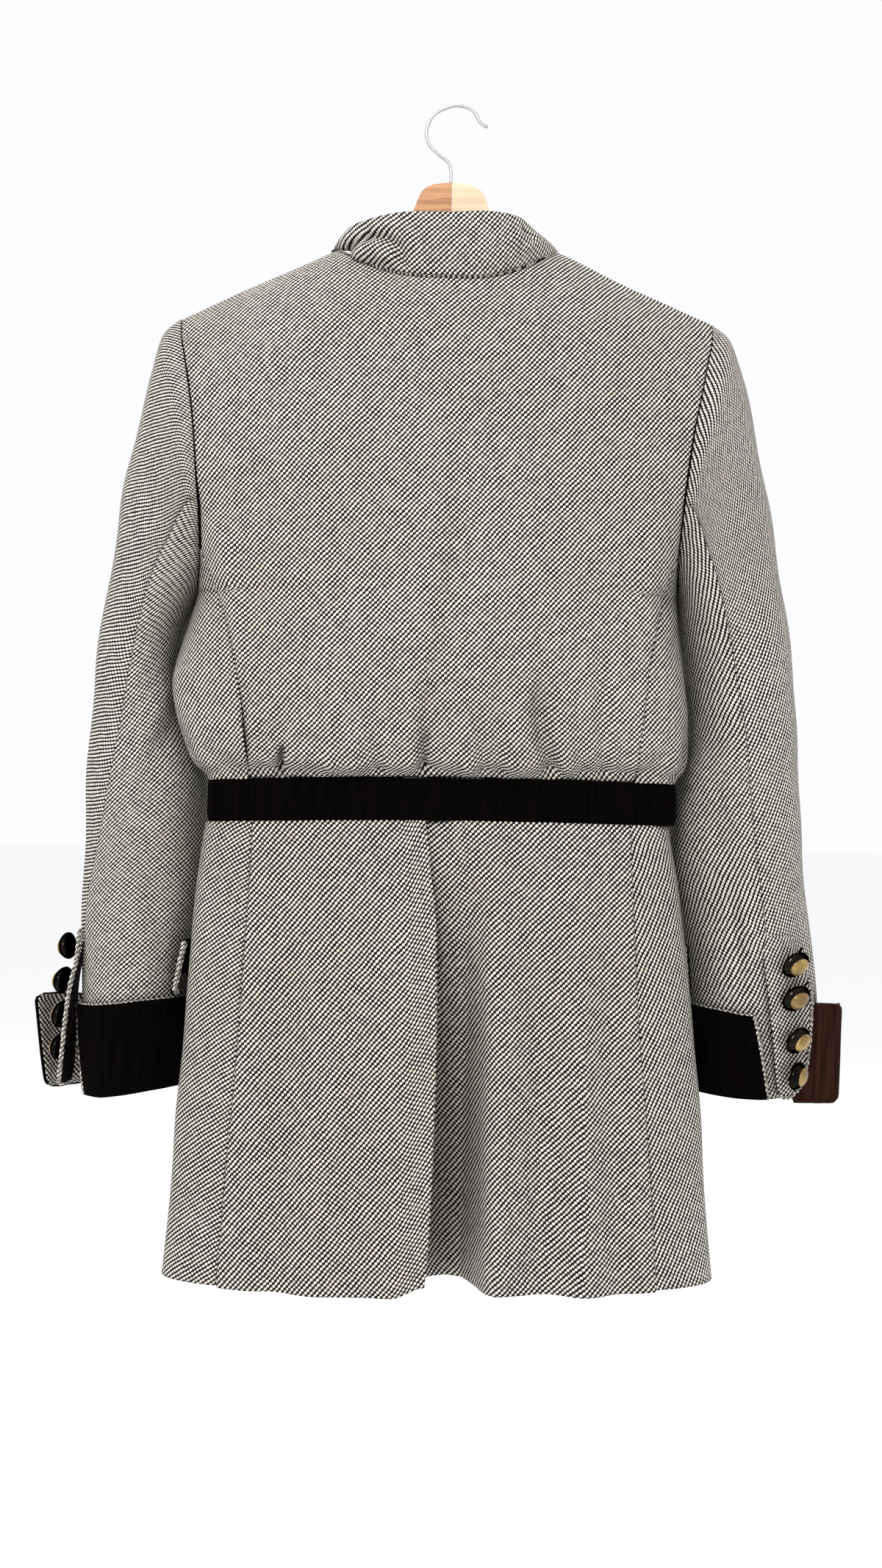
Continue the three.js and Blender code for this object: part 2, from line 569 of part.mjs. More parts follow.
// The armhole, by angle: 0 at the shoulder tip, 90 at the back, 180 under the arm.
function armholePoint(angle, side) {
  const sign = side === "left" ? -1 : 1;
  const middle = (armhole.topZ + armhole.bottomZ) / 2;
  const half = (armhole.topZ - armhole.bottomZ) / 2;
  const z = middle + half * Math.cos(radians(angle));
  const y = -armhole.halfDepth * Math.sin(radians(angle));
  return new THREE.Vector3(sign * look(armholeEdge, "z", z, side), y, z);
}

function sidePanel(side) {
  const middle = (armhole.topZ + armhole.bottomZ) / 2;
  const half = (armhole.topZ - armhole.bottomZ) / 2;
  const startAngle = (Math.acos((armhole.seamZ - middle) / half) * 180) / Math.PI;
  return clothWall("side_" + side, paint.tweed, 7, 7, (u, v) => {
    const w = side === "left" ? 1 - u : u;
    const top = armholePoint(mix(startAngle, 360 - startAngle, w), side);
    const seams = (at) => [bodiceSeamX(at, side, -1), bodiceSeamX(at, side, 1)];
    const foot = sidePoint(w, waist.topZ - waist.endDrop, side, ...seams(waist.topZ));
    const z = mix(bandTop(foot.x), top.z, v);
    const point = sidePoint(w, z, side, ...seams(z));
    const reached = sidePoint(w, top.z, side, ...seams(top.z));
    return point.addScaledVector(top.sub(reached), v ** 3);
  });
}

// ---- waistband: it stands a little proud of the gathers ----
function bandPoint(x, z, face) {
  const share = Math.min(Math.abs(x) / waist.halfWidth, 1);
  const deep = (face < 0 ? waist.backY : waist.frontY) + face * cloth.lift - waist.sideY;
  return new THREE.Vector3(x, waist.sideY + deep * (1 - share ** sectionPower) ** (1 / sectionPower), z);
}

function waistbandBack() {
  return clothWall("waistband_back", paint.velvet, 14, 1, (u, v) => {
    const x = mix(-waist.seamX, waist.seamX, u);
    return bandPoint(x, mix(bandBottom(x), bandTop(x), v), -1);
  });
}

function waistbandSide(side) {
  const sign = side === "left" ? -1 : 1;
  const start = Math.asin((waist.seamX / waist.halfWidth) ** (sectionPower / 2));
  const end = Math.PI + (side === "right" ? 0.05 : 0);
  return clothWall("waistband_" + side, paint.velvet, 14, 1, (u, v) => {
    const w = side === "left" ? 1 - u : u;
    const angle = mix(start, end, w);
    const turn = Math.sin(angle);
    const x = sign * Math.sign(turn) * waist.halfWidth * Math.abs(turn) ** (2 / sectionPower);
    const z = mix(bandBottom(x), bandTop(x), v);
    const point = bandPoint(x, z, Math.cos(angle) >= 0 ? -1 : 1);
    point.y -= lapInward(side, x) * ramp(w, 0.3, 0.5);
    return point;
  });
}

// ---- skirt ----
function hemZ(x, edge) {
  const corner = skirt.cornerLift * ramp(Math.abs(x - edge), skirt.cornerWidth, 0);
  return mix(skirt.hemZ, skirt.sideHemZ, (x / skirt.hemHalfWidth) ** 2) + corner;
}

function skirtY(x, z, face) {
  const down = ramp(z, -575, -900);
  let y = bodyY(x, z, face);
  for (const fold of skirtFolds) y -= face * fold.depth * down * bell(x - fold.x, fold.width);
  return y;
}

function skirtBackLeft() {
  return clothWall("skirt_back_left", paint.tweed, 11, 8, (u, v) => {
    const top = bandBottom(mix(-skirtSeamX.backTop, vent.topX, u));
    const z = mix(hemZ(mix(-skirtSeamX.backHem, vent.hemX, u), vent.hemX), top, v);
    const x = mix(-look(skirtSeam, "z", z, "back"), look(ventEdge, "z", z, "x"), u);
    return new THREE.Vector3(x, skirtY(x, z, -1), z);
  });
}

function skirtBackRight() {
  return clothWall("skirt_back_right", paint.tweed, 20, 9, (u, v) => {
    const spread = mix(u, u ** 1.6, 0.6);
    const top = bandBottom(mix(vent.underlapX, skirtSeamX.backTop, spread));
    const hem = hemZ(mix(vent.underlapX, skirtSeamX.backHem, spread), vent.underlapX);
    const z = mix(hem + vent.underlapLift * (1 - spread), top, v);
    const x = mix(vent.underlapX, look(skirtSeam, "z", z, "back"), spread);
    const trough = look(ventEdge, "z", z, "depth") * look(troughShape, "x", x, "share");
    const behind = vent.lapClear * ramp(x, 16, -2);
    return new THREE.Vector3(x, skirtY(x, z, -1) + Math.max(trough, behind) + behind * 0.3, z);
  });
}

function skirtSide(side) {
  return clothWall("skirt_side_" + side, paint.tweed, 7, 7, (u, v) => {
    const w = side === "left" ? 1 - u : u;
    const head = sidePoint(w, waist.topZ - waist.height, side, skirtSeamX.backTop, skirtSeamX.frontTop);
    const z = mix(skirt.sideHemZ, bandBottom(head.x), v);
    return sidePoint(w, z, side, look(skirtSeam, "z", z, "back"), look(skirtSeam, "z", z, "front"));
  });
}

function skirtFront(side) {
  const sign = side === "left" ? -1 : 1;
  return clothWall("skirt_front_" + side, paint.tweed, 6, 7, (u, v) => {
    const w = side === "left" ? 1 - u : u;
    const hem = hemZ(mix(skirtSeamX.frontHem, -closure.overlap, w), -closure.overlap);
    const z = mix(hem, bandBottom(mix(skirtSeamX.frontTop, 0, w)), v);
    const x = sign * mix(look(skirtSeam, "z", z, "front"), -closure.overlap, w);
    return new THREE.Vector3(x, skirtY(x, z, 1) - lapInward(side, x), z);
  });
}

// Flap of a hip pocket: it lies on the front and its rear corner stands off at the side.
function pocketFlap(side) {
  return clothWall("pocket_flap_" + side, paint.velvet, 10, 3, (u, v) => {
    const w = side === "left" ? u : 1 - u;
    const rear = 1 - w;
    const z = mix(flap.bottomZ, flap.topZ, v) + flap.frontLift * w * (1 - v);
    const fromBack = mix(flap.rear[side], 0.99, w);
    const seamFront = mix(flap.frontBottomX, flap.frontTopX, v);
    const point = sidePoint(fromBack, z, side, look(skirtSeam, "z", z, "back"), seamFront);
    const ahead = sidePoint(fromBack + 0.01, z, side, look(skirtSeam, "z", z, "back"), seamFront);
    const along = ahead.sub(point).normalize();
    const out = new THREE.Vector3(along.y, -along.x, 0);
    if (out.dot(new THREE.Vector3(point.x, point.y * 4, 0)) < 0) out.negate();
    const lift = cloth.wall + flap.clear[side] + flap.standOff[side] * rear ** 4 * mix(1, 0.45, v);
    return point.addScaledVector(out, lift);
  });
}

// ---- sleeves ----
function ringValue(side, ring, column) {
  const rows = sleeveRings[side];
  const numbered = rows.map((row, i) => ({ ...row, ring: i }));
  return look(numbered, "ring", ring, column);
}

// A point on the sleeve. The first ring is the armhole itself.
function sleevePoint(side, ring, angle, off = 0) {
  const sign = side === "left" ? -1 : 1;
  const outer = [ringValue(side, ring, "outerX"), ringValue(side, ring, "outerZ")];
  const inner = [ringValue(side, ring, "innerX"), ringValue(side, ring, "innerZ")];
  const turn = radians(angle);
  const reach = (1 + Math.cos(turn)) / 2;
  let x = mix(inner[0], outer[0], reach);
  let z = mix(inner[1], outer[1], reach);
  const armX = look(armholeEdge, "z", mix(armhole.bottomZ, armhole.topZ, reach), side);
  const straightX = mix(look(armholeEdge, "z", armhole.bottomZ, side), shoulder.tipX, reach);
  x += (armX - straightX) * (1 - ramp(ring, 0, sleeve.armholeRings));
  x -= ringValue(side, ring, "tuck") * (1 - reach) ** 4;
  const depth = ringValue(side, ring, "depth");
  const middle = ringValue(side, ring, "y");
  const y = middle - depth * Math.sin(turn);
  if (off) {
    const wide = (outer[0] - inner[0]) / 2;
    const outX = Math.cos(turn) / wide;
    const outY = -Math.sin(turn) / depth;
    const size = Math.hypot(outX, outY);
    x += (off * outX) / size;
    return new THREE.Vector3(sign * x, y + (off * outY) / size, z);
  }
  return new THREE.Vector3(sign * x, y, z);
}

const lastRing = sleeveRings.right.length - 1;
const seamAngle = (side, ring, which) => look(sleeveSeam[side], "ring", ring, which);

function sleevePanel(name, side, from, to, columns) {
  return clothWall(name, paint.tweed, columns, lastRing, (u, v) => {
    const ring = mix(lastRing, 0, v);
    const w = side === "left" ? u : 1 - u;
    const angle = mix(from(ring), to(ring), w);
    const point = sleevePoint(side, ring, angle);
    point.x += (side === "left" ? -sleeve.gap : sleeve.gap) * (1 - ramp(ring, 0, sleeve.gapRings));
    return point;
  });
}

function topSleeve(side) {
  const from = (ring) => seamAngle(side, ring, "front") - 360;
  const to = (ring) => seamAngle(side, ring, "back");
  return sleevePanel("top_sleeve_" + side, side, from, to, 13);
}

function underSleeve(side) {
  const from = (ring) => seamAngle(side, ring, "back");
  const to = (ring) => seamAngle(side, ring, "front");
  return sleevePanel("under_sleeve_" + side, side, from, to, 9);
}

// A point on the button tongue, from its vent edge (w = 0) to its front edge (w = 1).
function tonguePoint(side, w, z) {
  const sign = side === "left" ? -1 : 1;
  const value = (column) => look(tongueRows[side], "z", z, column);
  const start = new THREE.Vector3(value("ventX"), value("ventY"), z);
  const end = new THREE.Vector3(value("frontX"), value("frontY"), z);
  const out = new THREE.Vector3(end.y - start.y, start.x - end.x, 0).normalize();
  const point = start.lerp(end, w).addScaledVector(out, value("bow") * 4 * w * (1 - w));
  point.x *= sign;
  return point;
}

// Button tongue over the vent: a strip with a rounded end.
function ventTongue(side) {
  return clothWall("vent_tongue_" + side, paint.tweed, 5, 9, (u, v) => {
    const z = mix(tongue.bottomZ, tongue.topZ, v ** 1.2);
    return tonguePoint(side, side === "left" ? 1 - u : u, z);
  }, tongue.wall);
}

// Turned-back cuff, open at the vent. The ends lean out towards the top.
function turnedCuff(side) {
  const plan = cuffPlan[side];
  const last = plan.length - 1;
  const numbered = plan.map((row, i) => ({ ...row, place: i }));
  return clothWall("cuff_" + side, paint.velvet, 26, 2, (u, v) => {
    const w = side === "left" ? u : 1 - u;
    const place = (1 - w) * last;
    const slant = cuff.slant[side] * (v - 0.5) * ramp(place, 2, 0);
    const angle = look(numbered, "place", place, "angle") + slant;
    const off = look(numbered, "place", place, "off") + look(numbered, "place", place, "lean") * (v - 0.5);
    const bottomZ = cuff.bottomZ - look(numbered, "place", place, "bottomDrop");
    const z = mix(bottomZ, cuff.topZ - look(numbered, "place", place, "topDrop"), v);
    const close = ramp(off, cuff.looseFrom + cuff.looseBy, cuff.looseFrom);
    const ring = lastRing - mix(0.5, v, close);
    const point = sleevePoint(side, ring, angle, off - close * mix(cuff.seat.bottom, cuff.seat.top, v));
    point.z = z;
    return point;
  }, cuff.wall);
}

// ---- collar ----
function collarBase(angle) {
  const face = Math.abs(angle) <= 90 ? -1 : 1;
  const x = neck.halfWidth * Math.sin(radians(angle));
  const z = face < 0 ? backNeckLine(x) : frontNeckLine(x);
  return new THREE.Vector3(x, bodyY(x, z, face), z);
}

function collar() {
  return clothWall("collar", paint.tweed, 32, 3, (u, v) => {
    const angle = mix(-176, 176, u);
    const base = collarBase(angle);
    base.z += mix(cloth.lift, 1.5, ramp(Math.abs(angle), 90, 120));
    const top = new THREE.Vector3(
      look(collarTop, "angle", angle, "x"),
      look(collarTop, "angle", angle, "y"),
      look(collarTop, "angle", angle, "z"),
    );
    const point = base.clone().lerp(top, v);
    const outward = new THREE.Vector3(point.x / 90, point.y / 55, 0).normalize();
    return point.addScaledVector(outward, 3 * Math.sin(Math.PI * v));
  });
}

// ---- buttons ----
// An oval dome on its own flat back, turned to lie on a surface.
function oval(name, material, halfLength, halfWidth, height, profile) {
  const points = profile.map((row) => new THREE.Vector2(row.out, row.up * height));
  const geometry = new THREE.LatheGeometry(points, button.sides);
  geometry.scale(halfLength, 1, halfWidth);
  const mesh = new THREE.Mesh(geometry, material);
  mesh.name = name;
  return mesh;
}
const domeProfile = [
  { out: 0, up: 0 },
  { out: 0.86, up: 0 },
  { out: 1, up: 0.3 },
  { out: 0.8, up: 0.8 },
  { out: 0.45, up: 1 },
  { out: 0, up: 1 },
];
const stoneProfile = [
  { out: 0, up: 0 },
  { out: 1, up: 0 },
  { out: 0.8, up: 0.7 },
  { out: 0, up: 1 },
];

// A button facing up, its length along a direction, just clear of the cloth behind it.
function placeButton(group, name, at, normal, up, along) {
  const holder = new THREE.Group();
  const length = along.clone().addScaledVector(up, -along.dot(up)).normalize();
  const width = length.clone().cross(up).normalize();
  const reach = Math.hypot(button.halfLength * length.dot(normal), button.halfWidth * width.dot(normal));
  const sunk = domeProfile.map((row) => row.out * reach - row.up * button.height * up.dot(normal));
  const place = at.clone().addScaledVector(normal, button.clear + Math.max(...sunk));
  holder.matrixAutoUpdate = false;
  holder.matrix.makeBasis(length, up, width).setPosition(place);
  holder.add(oval(name, paint.black, button.halfLength, button.halfWidth, button.height, domeProfile));
  const stoneName = name + "_stone";
  const gem = oval(stoneName, paint.amber, stone.halfLength, stone.halfWidth, stone.height, stoneProfile);
  gem.position.y = button.height + stone.clear;
  holder.add(gem);
  group.add(holder);
}

function sleeveButtons(group, side) {
  buttonPlace[side].forEach((row, i) => {
    const at = tonguePoint(side, row.share, row.z);
    const beside = tonguePoint(side, row.share + 0.1, row.z);
    const above = tonguePoint(side, row.share, row.z + 5);
    const normal = beside.clone().sub(at).cross(above.sub(at)).normalize();
    if (side === "left") normal.negate();
    const along = beside.sub(at).normalize().add(new THREE.Vector3(0, 0, 0.55));
    const tilted = normal.clone().add(new THREE.Vector3(row.tiltX, 0, row.tiltZ)).normalize();
    placeButton(group, "sleeve_button_" + side + "_" + (i + 1), at, normal, tilted, along);
  });
}

function frontButtons(group) {
  frontButtonZ.forEach((z, i) => {
    const at = new THREE.Vector3(0, bodyY(0, z, 1), z);
    const above = new THREE.Vector3(0, bodyY(0, z + 5, 1), z + 5);
    const along = new THREE.Vector3(1, 0, 0);
    const facing = above.sub(at).cross(along).normalize();
    placeButton(group, "front_button_" + (i + 1), at, facing, facing, along);
  });
}

// ---- hanger ----
function hangerHalf(name, material, side) {
  const outline = new THREE.Shape();
  const top = (x) => shoulderLine(x) - hanger.clear;
  const start = hanger.joinX + side * hanger.joinGap;
  outline.moveTo(start, -60.5);
  outline.quadraticCurveTo(side * 13 + hanger.joinX, -60.5, side * 19 + hanger.joinX, -63.4);
  outline.quadraticCurveTo(side * 24 + hanger.joinX, -66, side * 26 + hanger.joinX, -71);
  outline.lineTo(side * 29.5 + hanger.joinX, -80);
  outline.quadraticCurveTo(side * 36, -106, side * 60, -117);
  outline.lineTo(side * 94, top(94) - 4);
  for (const x of [116, 150, 180]) outline.lineTo(side * x, top(x));
  outline.lineTo(side * hanger.endX, top(hanger.endX));
  const tip = [side * (hanger.endX - 6), top(hanger.endX - 6) - hanger.tipTall];
  outline.quadraticCurveTo(side * (hanger.endX + 3), top(hanger.endX) - 10, ...tip);
  outline.quadraticCurveTo(side * 100, -168, side * 40, -142);
  outline.quadraticCurveTo(side * 20 + hanger.joinX, -134, start, -132);
  const geometry = new THREE.ExtrudeGeometry(outline, {
    depth: hanger.thick,
    bevelEnabled: false,
    curveSegments: 6,
  });
  geometry.rotateX(Math.PI / 2);
  geometry.translate(0, hanger.thick / 2, 0);
  const mesh = new THREE.Mesh(geometry, material);
  mesh.name = name;
  return mesh;
}

function hangerHook() {
  const route = new THREE.CatmullRomCurve3(
    hookPath.map((row) => new THREE.Vector3(row.x, 0, row.z)),
    false,
    "centripetal",
  );
  const section = new THREE.Shape();
  for (let i = 0; i < wire.sides; i += 1) {
    const angle = (2 * Math.PI * i) / wire.sides;
    const point = [wire.radius * Math.cos(angle), wire.radius * Math.sin(angle)];
    if (i === 0) section.moveTo(...point);
    else section.lineTo(...point);
  }
  const geometry = new THREE.ExtrudeGeometry(section, { steps: wire.steps, extrudePath: route });
  const mesh = new THREE.Mesh(geometry, paint.steel);
  mesh.name = "hanger_hook";
  return mesh;
}

// ---- assembly ----
const blazer = new THREE.Group();
blazer.add(backPanel(), frontPanel("left"), frontPanel("right"), sidePanel("left"), sidePanel("right"));
blazer.add(collar(), waistbandBack(), waistbandSide("left"), waistbandSide("right"));
blazer.add(skirtBackLeft(), skirtBackRight());
for (const side of ["left", "right"]) {
  blazer.add(skirtSide(side), skirtFront(side), pocketFlap(side));
  blazer.add(topSleeve(side), underSleeve(side), ventTongue(side), turnedCuff(side));
  sleeveButtons(blazer, side);
}
frontButtons(blazer);
blazer.add(hangerHalf("hanger_left", paint.beech, -1), hangerHalf("hanger_right", paint.paleWood, 1));
blazer.add(hangerHook());

export default blazer;
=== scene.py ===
import math
import bpy
import numpy as np
from mathutils import Matrix, Vector


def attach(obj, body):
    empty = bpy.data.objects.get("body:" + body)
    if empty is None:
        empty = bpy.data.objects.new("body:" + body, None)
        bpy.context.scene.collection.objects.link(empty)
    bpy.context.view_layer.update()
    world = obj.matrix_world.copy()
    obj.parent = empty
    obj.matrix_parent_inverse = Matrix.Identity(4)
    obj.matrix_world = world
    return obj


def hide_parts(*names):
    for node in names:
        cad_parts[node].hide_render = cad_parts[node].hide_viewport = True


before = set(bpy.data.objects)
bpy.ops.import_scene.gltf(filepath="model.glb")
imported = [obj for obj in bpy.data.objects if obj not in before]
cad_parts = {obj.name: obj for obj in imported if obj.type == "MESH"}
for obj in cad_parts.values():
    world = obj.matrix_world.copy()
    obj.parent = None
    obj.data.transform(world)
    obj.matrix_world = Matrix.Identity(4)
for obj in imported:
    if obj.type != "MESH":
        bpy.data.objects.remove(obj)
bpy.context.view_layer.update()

# A tweed blazer on a wooden hanger. Shapes are worked out in millimetres and built in metres.
# The garment's back faces -Y, +X is the wearer's right, and the origin is inside the hanger's hook.


def table(names, rows):
    return dict(zip(names.split(), np.array(rows, float).T))


# the pattern: the same sizes as the solids
cloth = {"wall": 2.0, "seamGap": 0.12, "lift": 0.5}
neck = {"halfWidth": 88.5, "backZ": -148, "shoulderZ": -115.5, "frontZ": -200, "curve": 2.6}
shoulder = {"tipX": 210, "tipZ": -170, "crownZ": -95, "round": 85, "levelDepth": 120}
armhole = {"topZ": -170, "bottomZ": -388, "halfDepth": 47, "squareZ": -300, "seamZ": -356.4, "seamX": 180,
           "fanZ": -438}
waist = {"topZ": -533, "height": 33, "endDrop": 3, "halfWidth": 185.5, "seamX": 150, "backY": -50,
         "frontY": 44, "sideY": -8}
skirt = {"hemZ": -931, "sideHemZ": -926, "hemHalfWidth": 200, "cornerLift": 9, "cornerWidth": 26}
skirtSeamX = {"backTop": 147, "backHem": 170, "frontTop": 124, "frontHem": 142}
vent = {"topX": -12, "hemX": -10, "underlapX": -36, "underlapLift": 4, "lapClear": 3}
closure = {"overlap": 15, "lapClear": 3.2, "fadeFromX": 60, "fadeToX": 25}
sectionPower = 2.6

# outer edge of the armhole on each side
armholeEdge = table("z left right", [
    (-388, 195, 184), (-360, 190.5, 182.5), (-331, 190, 184), (-300, 192, 187), (-265, 194.5, 191.5),
    (-238, 198, 197), (-208, 203.5, 203), (-189, 207.5, 207.5), (-170, 210, 210),
])
# half-widths below the armhole, and how far back and front stand from y = 0
bodyWidth = table("z left right", [
    (-931, 218, 218), (-871, 212, 212), (-816, 208.5, 208.5), (-761, 203.5, 203.5), (-707, 200.5, 199),
    (-653, 197, 193), (-612, 192.5, 187), (-569, 187, 181), (-566, 185.5, 181), (-536, 185.5, 185),
    (-524, 196, 192.5), (-514, 201, 194), (-488, 209, 193.5), (-460, 213, 190.5), (-447, 211, 189),
    (-419, 203.5, 186.5), (-402, 198.5, 185), (-388, 195, 184), (-340, 194, 187),
])
bodyDepth = table("z back front side", [
    (-931, 66, 46, -4), (-850, 64, 46, -4), (-750, 62, 46, -4), (-650, 58, 46, -5), (-600, 54, 45, -6),
    (-569, 50, 44, -7), (-533, 50, 44, -8), (-522, 61, 48, -10), (-505, 67, 50, -12), (-460, 72, 51, -12),
    (-430, 74, 52, -8), (-388, 75, 53, 0), (-320, 75, 53, 0), (-250, 72, 51, 0), (-190, 64, 47, 0),
    (-148, 56, 44, 0), (-95, 52, 42, 0),
])
# vertical seams beside the back and front panels
bodiceSeam = table("z back front", [
    (-536, 150, 125), (-480, 155, 132), (-438, 160, 141), (-380, 171, 165), (-356, 180, 180),
])
skirtSeam = table("z back front", [
    (-931, 170, 142), (-870, 166, 139), (-780, 159, 135), (-700, 153, 131), (-630, 149, 127), (-566, 147, 124),
])
# the lapped edge of the left back skirt, and the depth of the trough beside it
ventEdge = table("z x depth", [
    (-931, -10, 62), (-880, -6, 55), (-830, -4, 47), (-725, -2, 30), (-650, -3, 15), (-600, -8, 5),
    (-566, -12, 0),
])
troughShape = table("x share", [
    (-40, 0.3), (-20, 0.6), (-4, 0.9), (8, 1), (18, 0.95), (29, 0.55), (38, 0.12), (46, 0), (60, 0.05),
    (84, 0.1), (110, 0),
])
# sleeve sections: outer and inner points, half depth and middle, and how far the inner fold reaches in
sleeveRings = {
    "right": table("outerX outerZ innerX innerZ depth y tuck", [
        (210, -170, 184, -388, 47, 0, 0), (225, -182, 185.4, -391, 50, 1, 0),
        (236, -214, 186.8, -397, 53, 3, 0), (247.5, -264, 188, -405, 55, 5, 0),
        (257, -301, 189.2, -414, 56, 7, 0), (265.7, -351, 190.8, -426, 56, 9, 0),
        (273.5, -402, 192.6, -441, 54, 11, 0), (280.5, -451, 195, -463, 52, 13, 2),
        (285, -495, 198.5, -495, 50, 15, 2), (288, -540, 200, -540, 47, 18, 14),
        (289.5, -590, 199, -590, 44, 22, 17), (291, -650, 200.5, -650, 41, 26, 7),
        (292, -710, 204, -710, 39, 29, 2), (289, -779, 206, -777, 38, 31, 5),
    ]),
    "left": table("outerX outerZ innerX innerZ depth y tuck", [
        (210, -170, 195, -388, 47, 0, 0), (225, -182, 196.5, -391, 50, 1, 0),
        (236, -214, 199, -396, 53, 4, 0), (247.5, -264, 202, -403, 55, 7, 0),
        (257, -301, 205, -411, 56, 10, 0), (265.7, -351, 208, -422, 56, 13, 0),
        (273.5, -402, 209.5, -437, 54, 17, 0), (280.5, -451, 209, -460, 51, 22, 0),
        (285, -495, 205, -495, 48, 25, 4), (288, -540, 201, -540, 46, 27, 13),
        (289.5, -590, 200, -590, 44, 28, 13), (291, -650, 203, -650, 41, 30, 10),
        (290, -710, 206, -710, 39, 31, 7), (288, -779, 206, -777, 38, 32, 8),
    ]),
}
# angle of the back-arm and front-arm seams round the sleeve, from its outer point, down the rings
sleeveSeam = {
    "right": table("ring back front", [
        (0, 112, 238), (6, 104, 238), (9, 92, 238), (11, 75, 238), (13, 57, 238),
    ]),
    "left": table("ring back front", [
        (0, 112, 232), (6, 94, 220), (9, 64, 205), (11, 30, 190), (13, 8, 180),
    ]),
}
# the cuffs in plan, from the end behind the vent round the arm to the open end
cuffPlan = {
    "right": table("angle off lean topDrop bottomDrop", [
        (80, 3.2, 0, 9.5, 4.5), (98, 3.2, 0, 8.5, 4), (120, 3.2, 0, 6, 2.5), (150, 3, 0, 3.5, 0.8),
        (180, 3, 0, 2, 0), (210, 3.2, 0, 2, 0), (240, 3.5, 0, 2, 1), (270, 4, 0, 4, 1), (300, 6, 1, 6.5, 1),
        (325, 14, 2, 8, 2), (345, 26, 2, 7.5, 7), (358, 33, 2, 4.5, 11), (368, 32, 2, 2.5, 11),
        (378, 20, 1, 1, 10), (388, 9, 0, 0.6, 9), (396, 4, 0, 0.6, 9),
    ]),
    "left": table("angle off lean topDrop bottomDrop", [
        (18, 3.4, 0, 9, 9.5), (50, 3.2, 0, 8, 9.5), (80, 3.2, 0, 5.5, 7), (110, 3.2, 0, 2.5, 3),
        (140, 3, 0, 1, 0), (170, 3, 0, 0, -2), (200, 3.2, 0, 0, -2), (230, 3.4, 0, 1, 0),
        (260, 3.6, 0, 3, 2), (290, 4, 0, 5, 5), (312, 8, 2, 7, 7), (330, 17, 4, 5, 8), (344, 29, 7, 4, 9),
        (354, 37, 11, 3.5, 9),
    ]),
}
# the button tongues in plan: the vent edge, the front edge and the bow between them
tongueRows = {
    "right": table("z ventX ventY frontX frontY bow", [
        (-783, 272, -9, 282, -3, 0.5), (-773, 268.5, -10, 290, 0, 1), (-760, 267, -11, 293.5, 1, 1),
        (-735, 264.5, -12.5, 296.5, 3, 1), (-709, 261, -14, 297.5, 4, 2), (-680, 257, -15.6, 293, 4.4, 4),
        (-655, 254.5, -16.7, 287.5, 5, 6.5),
    ]),
    "left": table("z ventX ventY frontX frontY bow", [
        (-783, 307, 19, 301, 33, 0.3), (-773, 305, 12, 300, 40, 0.6), (-760, 303, 9, 300, 44, 0.6),
        (-733, 300.5, 9, 299.5, 46, 1), (-706, 297, 9, 298, 46, 1.5), (-680, 291.6, 10, 294.6, 46, 2),
        (-655, 289.4, 12, 292, 44, 2.5),
    ]),
}
buttonPlace = {
    "right": table("z share tiltX tiltY tiltZ", [
        (-676.5, 0.54, -0.12, 0, -0.3), (-703.5, 0.5, -0.1, 0, -0.25), (-737, 0.5, 0.3, 0, -0.3),
        (-765, 0.42, 1.0, 0, -0.1),
    ]),
    "left": table("z share tiltX tiltY tiltZ", [
        (-671.5, 0.36, 0, 0.42, -0.3), (-700.5, 0.38, 0, 0.4, -0.12), (-728, 0.45, 0, 0.3, 0),
        (-754, 0.5, 0, 0.3, 0),
    ]),
}
# top edge of the collar, by angle from the centre back: + is the wearer's right
collarTop = table("angle x y z", [
    (-180, -7, 49, -166), (-150, -44, 42, -156), (-120, -76, 26, -134), (-95, -87, 4, -117),
    (-78, -84, -14, -108), (-60, -73, -32, -102), (-40, -56, -45, -100), (-20, -30, -53, -98),
    (0, 0, -55, -98), (20, 28, -54, -97), (40, 51, -47, -98), (60, 63, -33, -100), (78, 69, -15, -103),
    (95, 73, 4, -110), (120, 68, 24, -130), (150, 42, 41, -154), (180, 7, 49, -166),
])
# wire hook, from the neck block up and over to the turned-out tip
hookPath = table("x z", [
    (2.1, -59.6), (2.1, -50), (0.3, -42.9), (-8, -36), (-14.6, -29.7), (-17.8, -20), (-16.4, -11.6),
    (-11.6, -4.2), (-1.8, 1.3), (7.3, 3.2), (15.5, 1.1), (21.2, -3.4), (25, -10), (31.1, -14.2),
])


# small maths
def clamp(value, low, high):
    return np.minimum(np.maximum(value, low), high)


def mix(a, b, share):
    return a + (b - a) * share


def ramp(value, start, end):
    share = clamp((value - start) / (end - start), 0, 1)
    return share * share * (3 - 2 * share)


def bell(distance, width):
    return np.exp(-((distance / width) ** 2))


def cubic(a, b, slopeA, slopeB, step, t):
    # smooth curve from a to b with these slopes at its ends
    return ((2 * t**3 - 3 * t**2 + 1) * a + (3 * t**2 - 2 * t**3) * b
            + step * ((t**3 - 2 * t**2 + t) * slopeA + (t**3 - t**2) * slopeB))


def look(rows, key, at, column):
    # smooth value of one column, without overshoot between the rows
    x, y = rows[key], rows[column]
    step = np.diff(x)
    slope = np.diff(y) / step
    before, after = slope[:-1], slope[1:]
    total = np.where(before + after == 0, 1, before + after)
    middle = np.where(before * after > 0, 2 * before * after / total, 0)
    tangent = np.concatenate(([slope[0]], middle, [slope[-1]]))
    i = np.clip(np.searchsorted(x, at, side="right") - 1, 0, len(x) - 2)
    t = clamp((at - x[i]) / step[i], 0, 1)
    return cubic(y[i], y[i + 1], tangent[i], tangent[i + 1], step[i], t)


def runLength(path):
    # how far along the path each point lies
    return np.concatenate(([0], np.cumsum(np.linalg.norm(np.diff(path, axis=0), axis=1))))


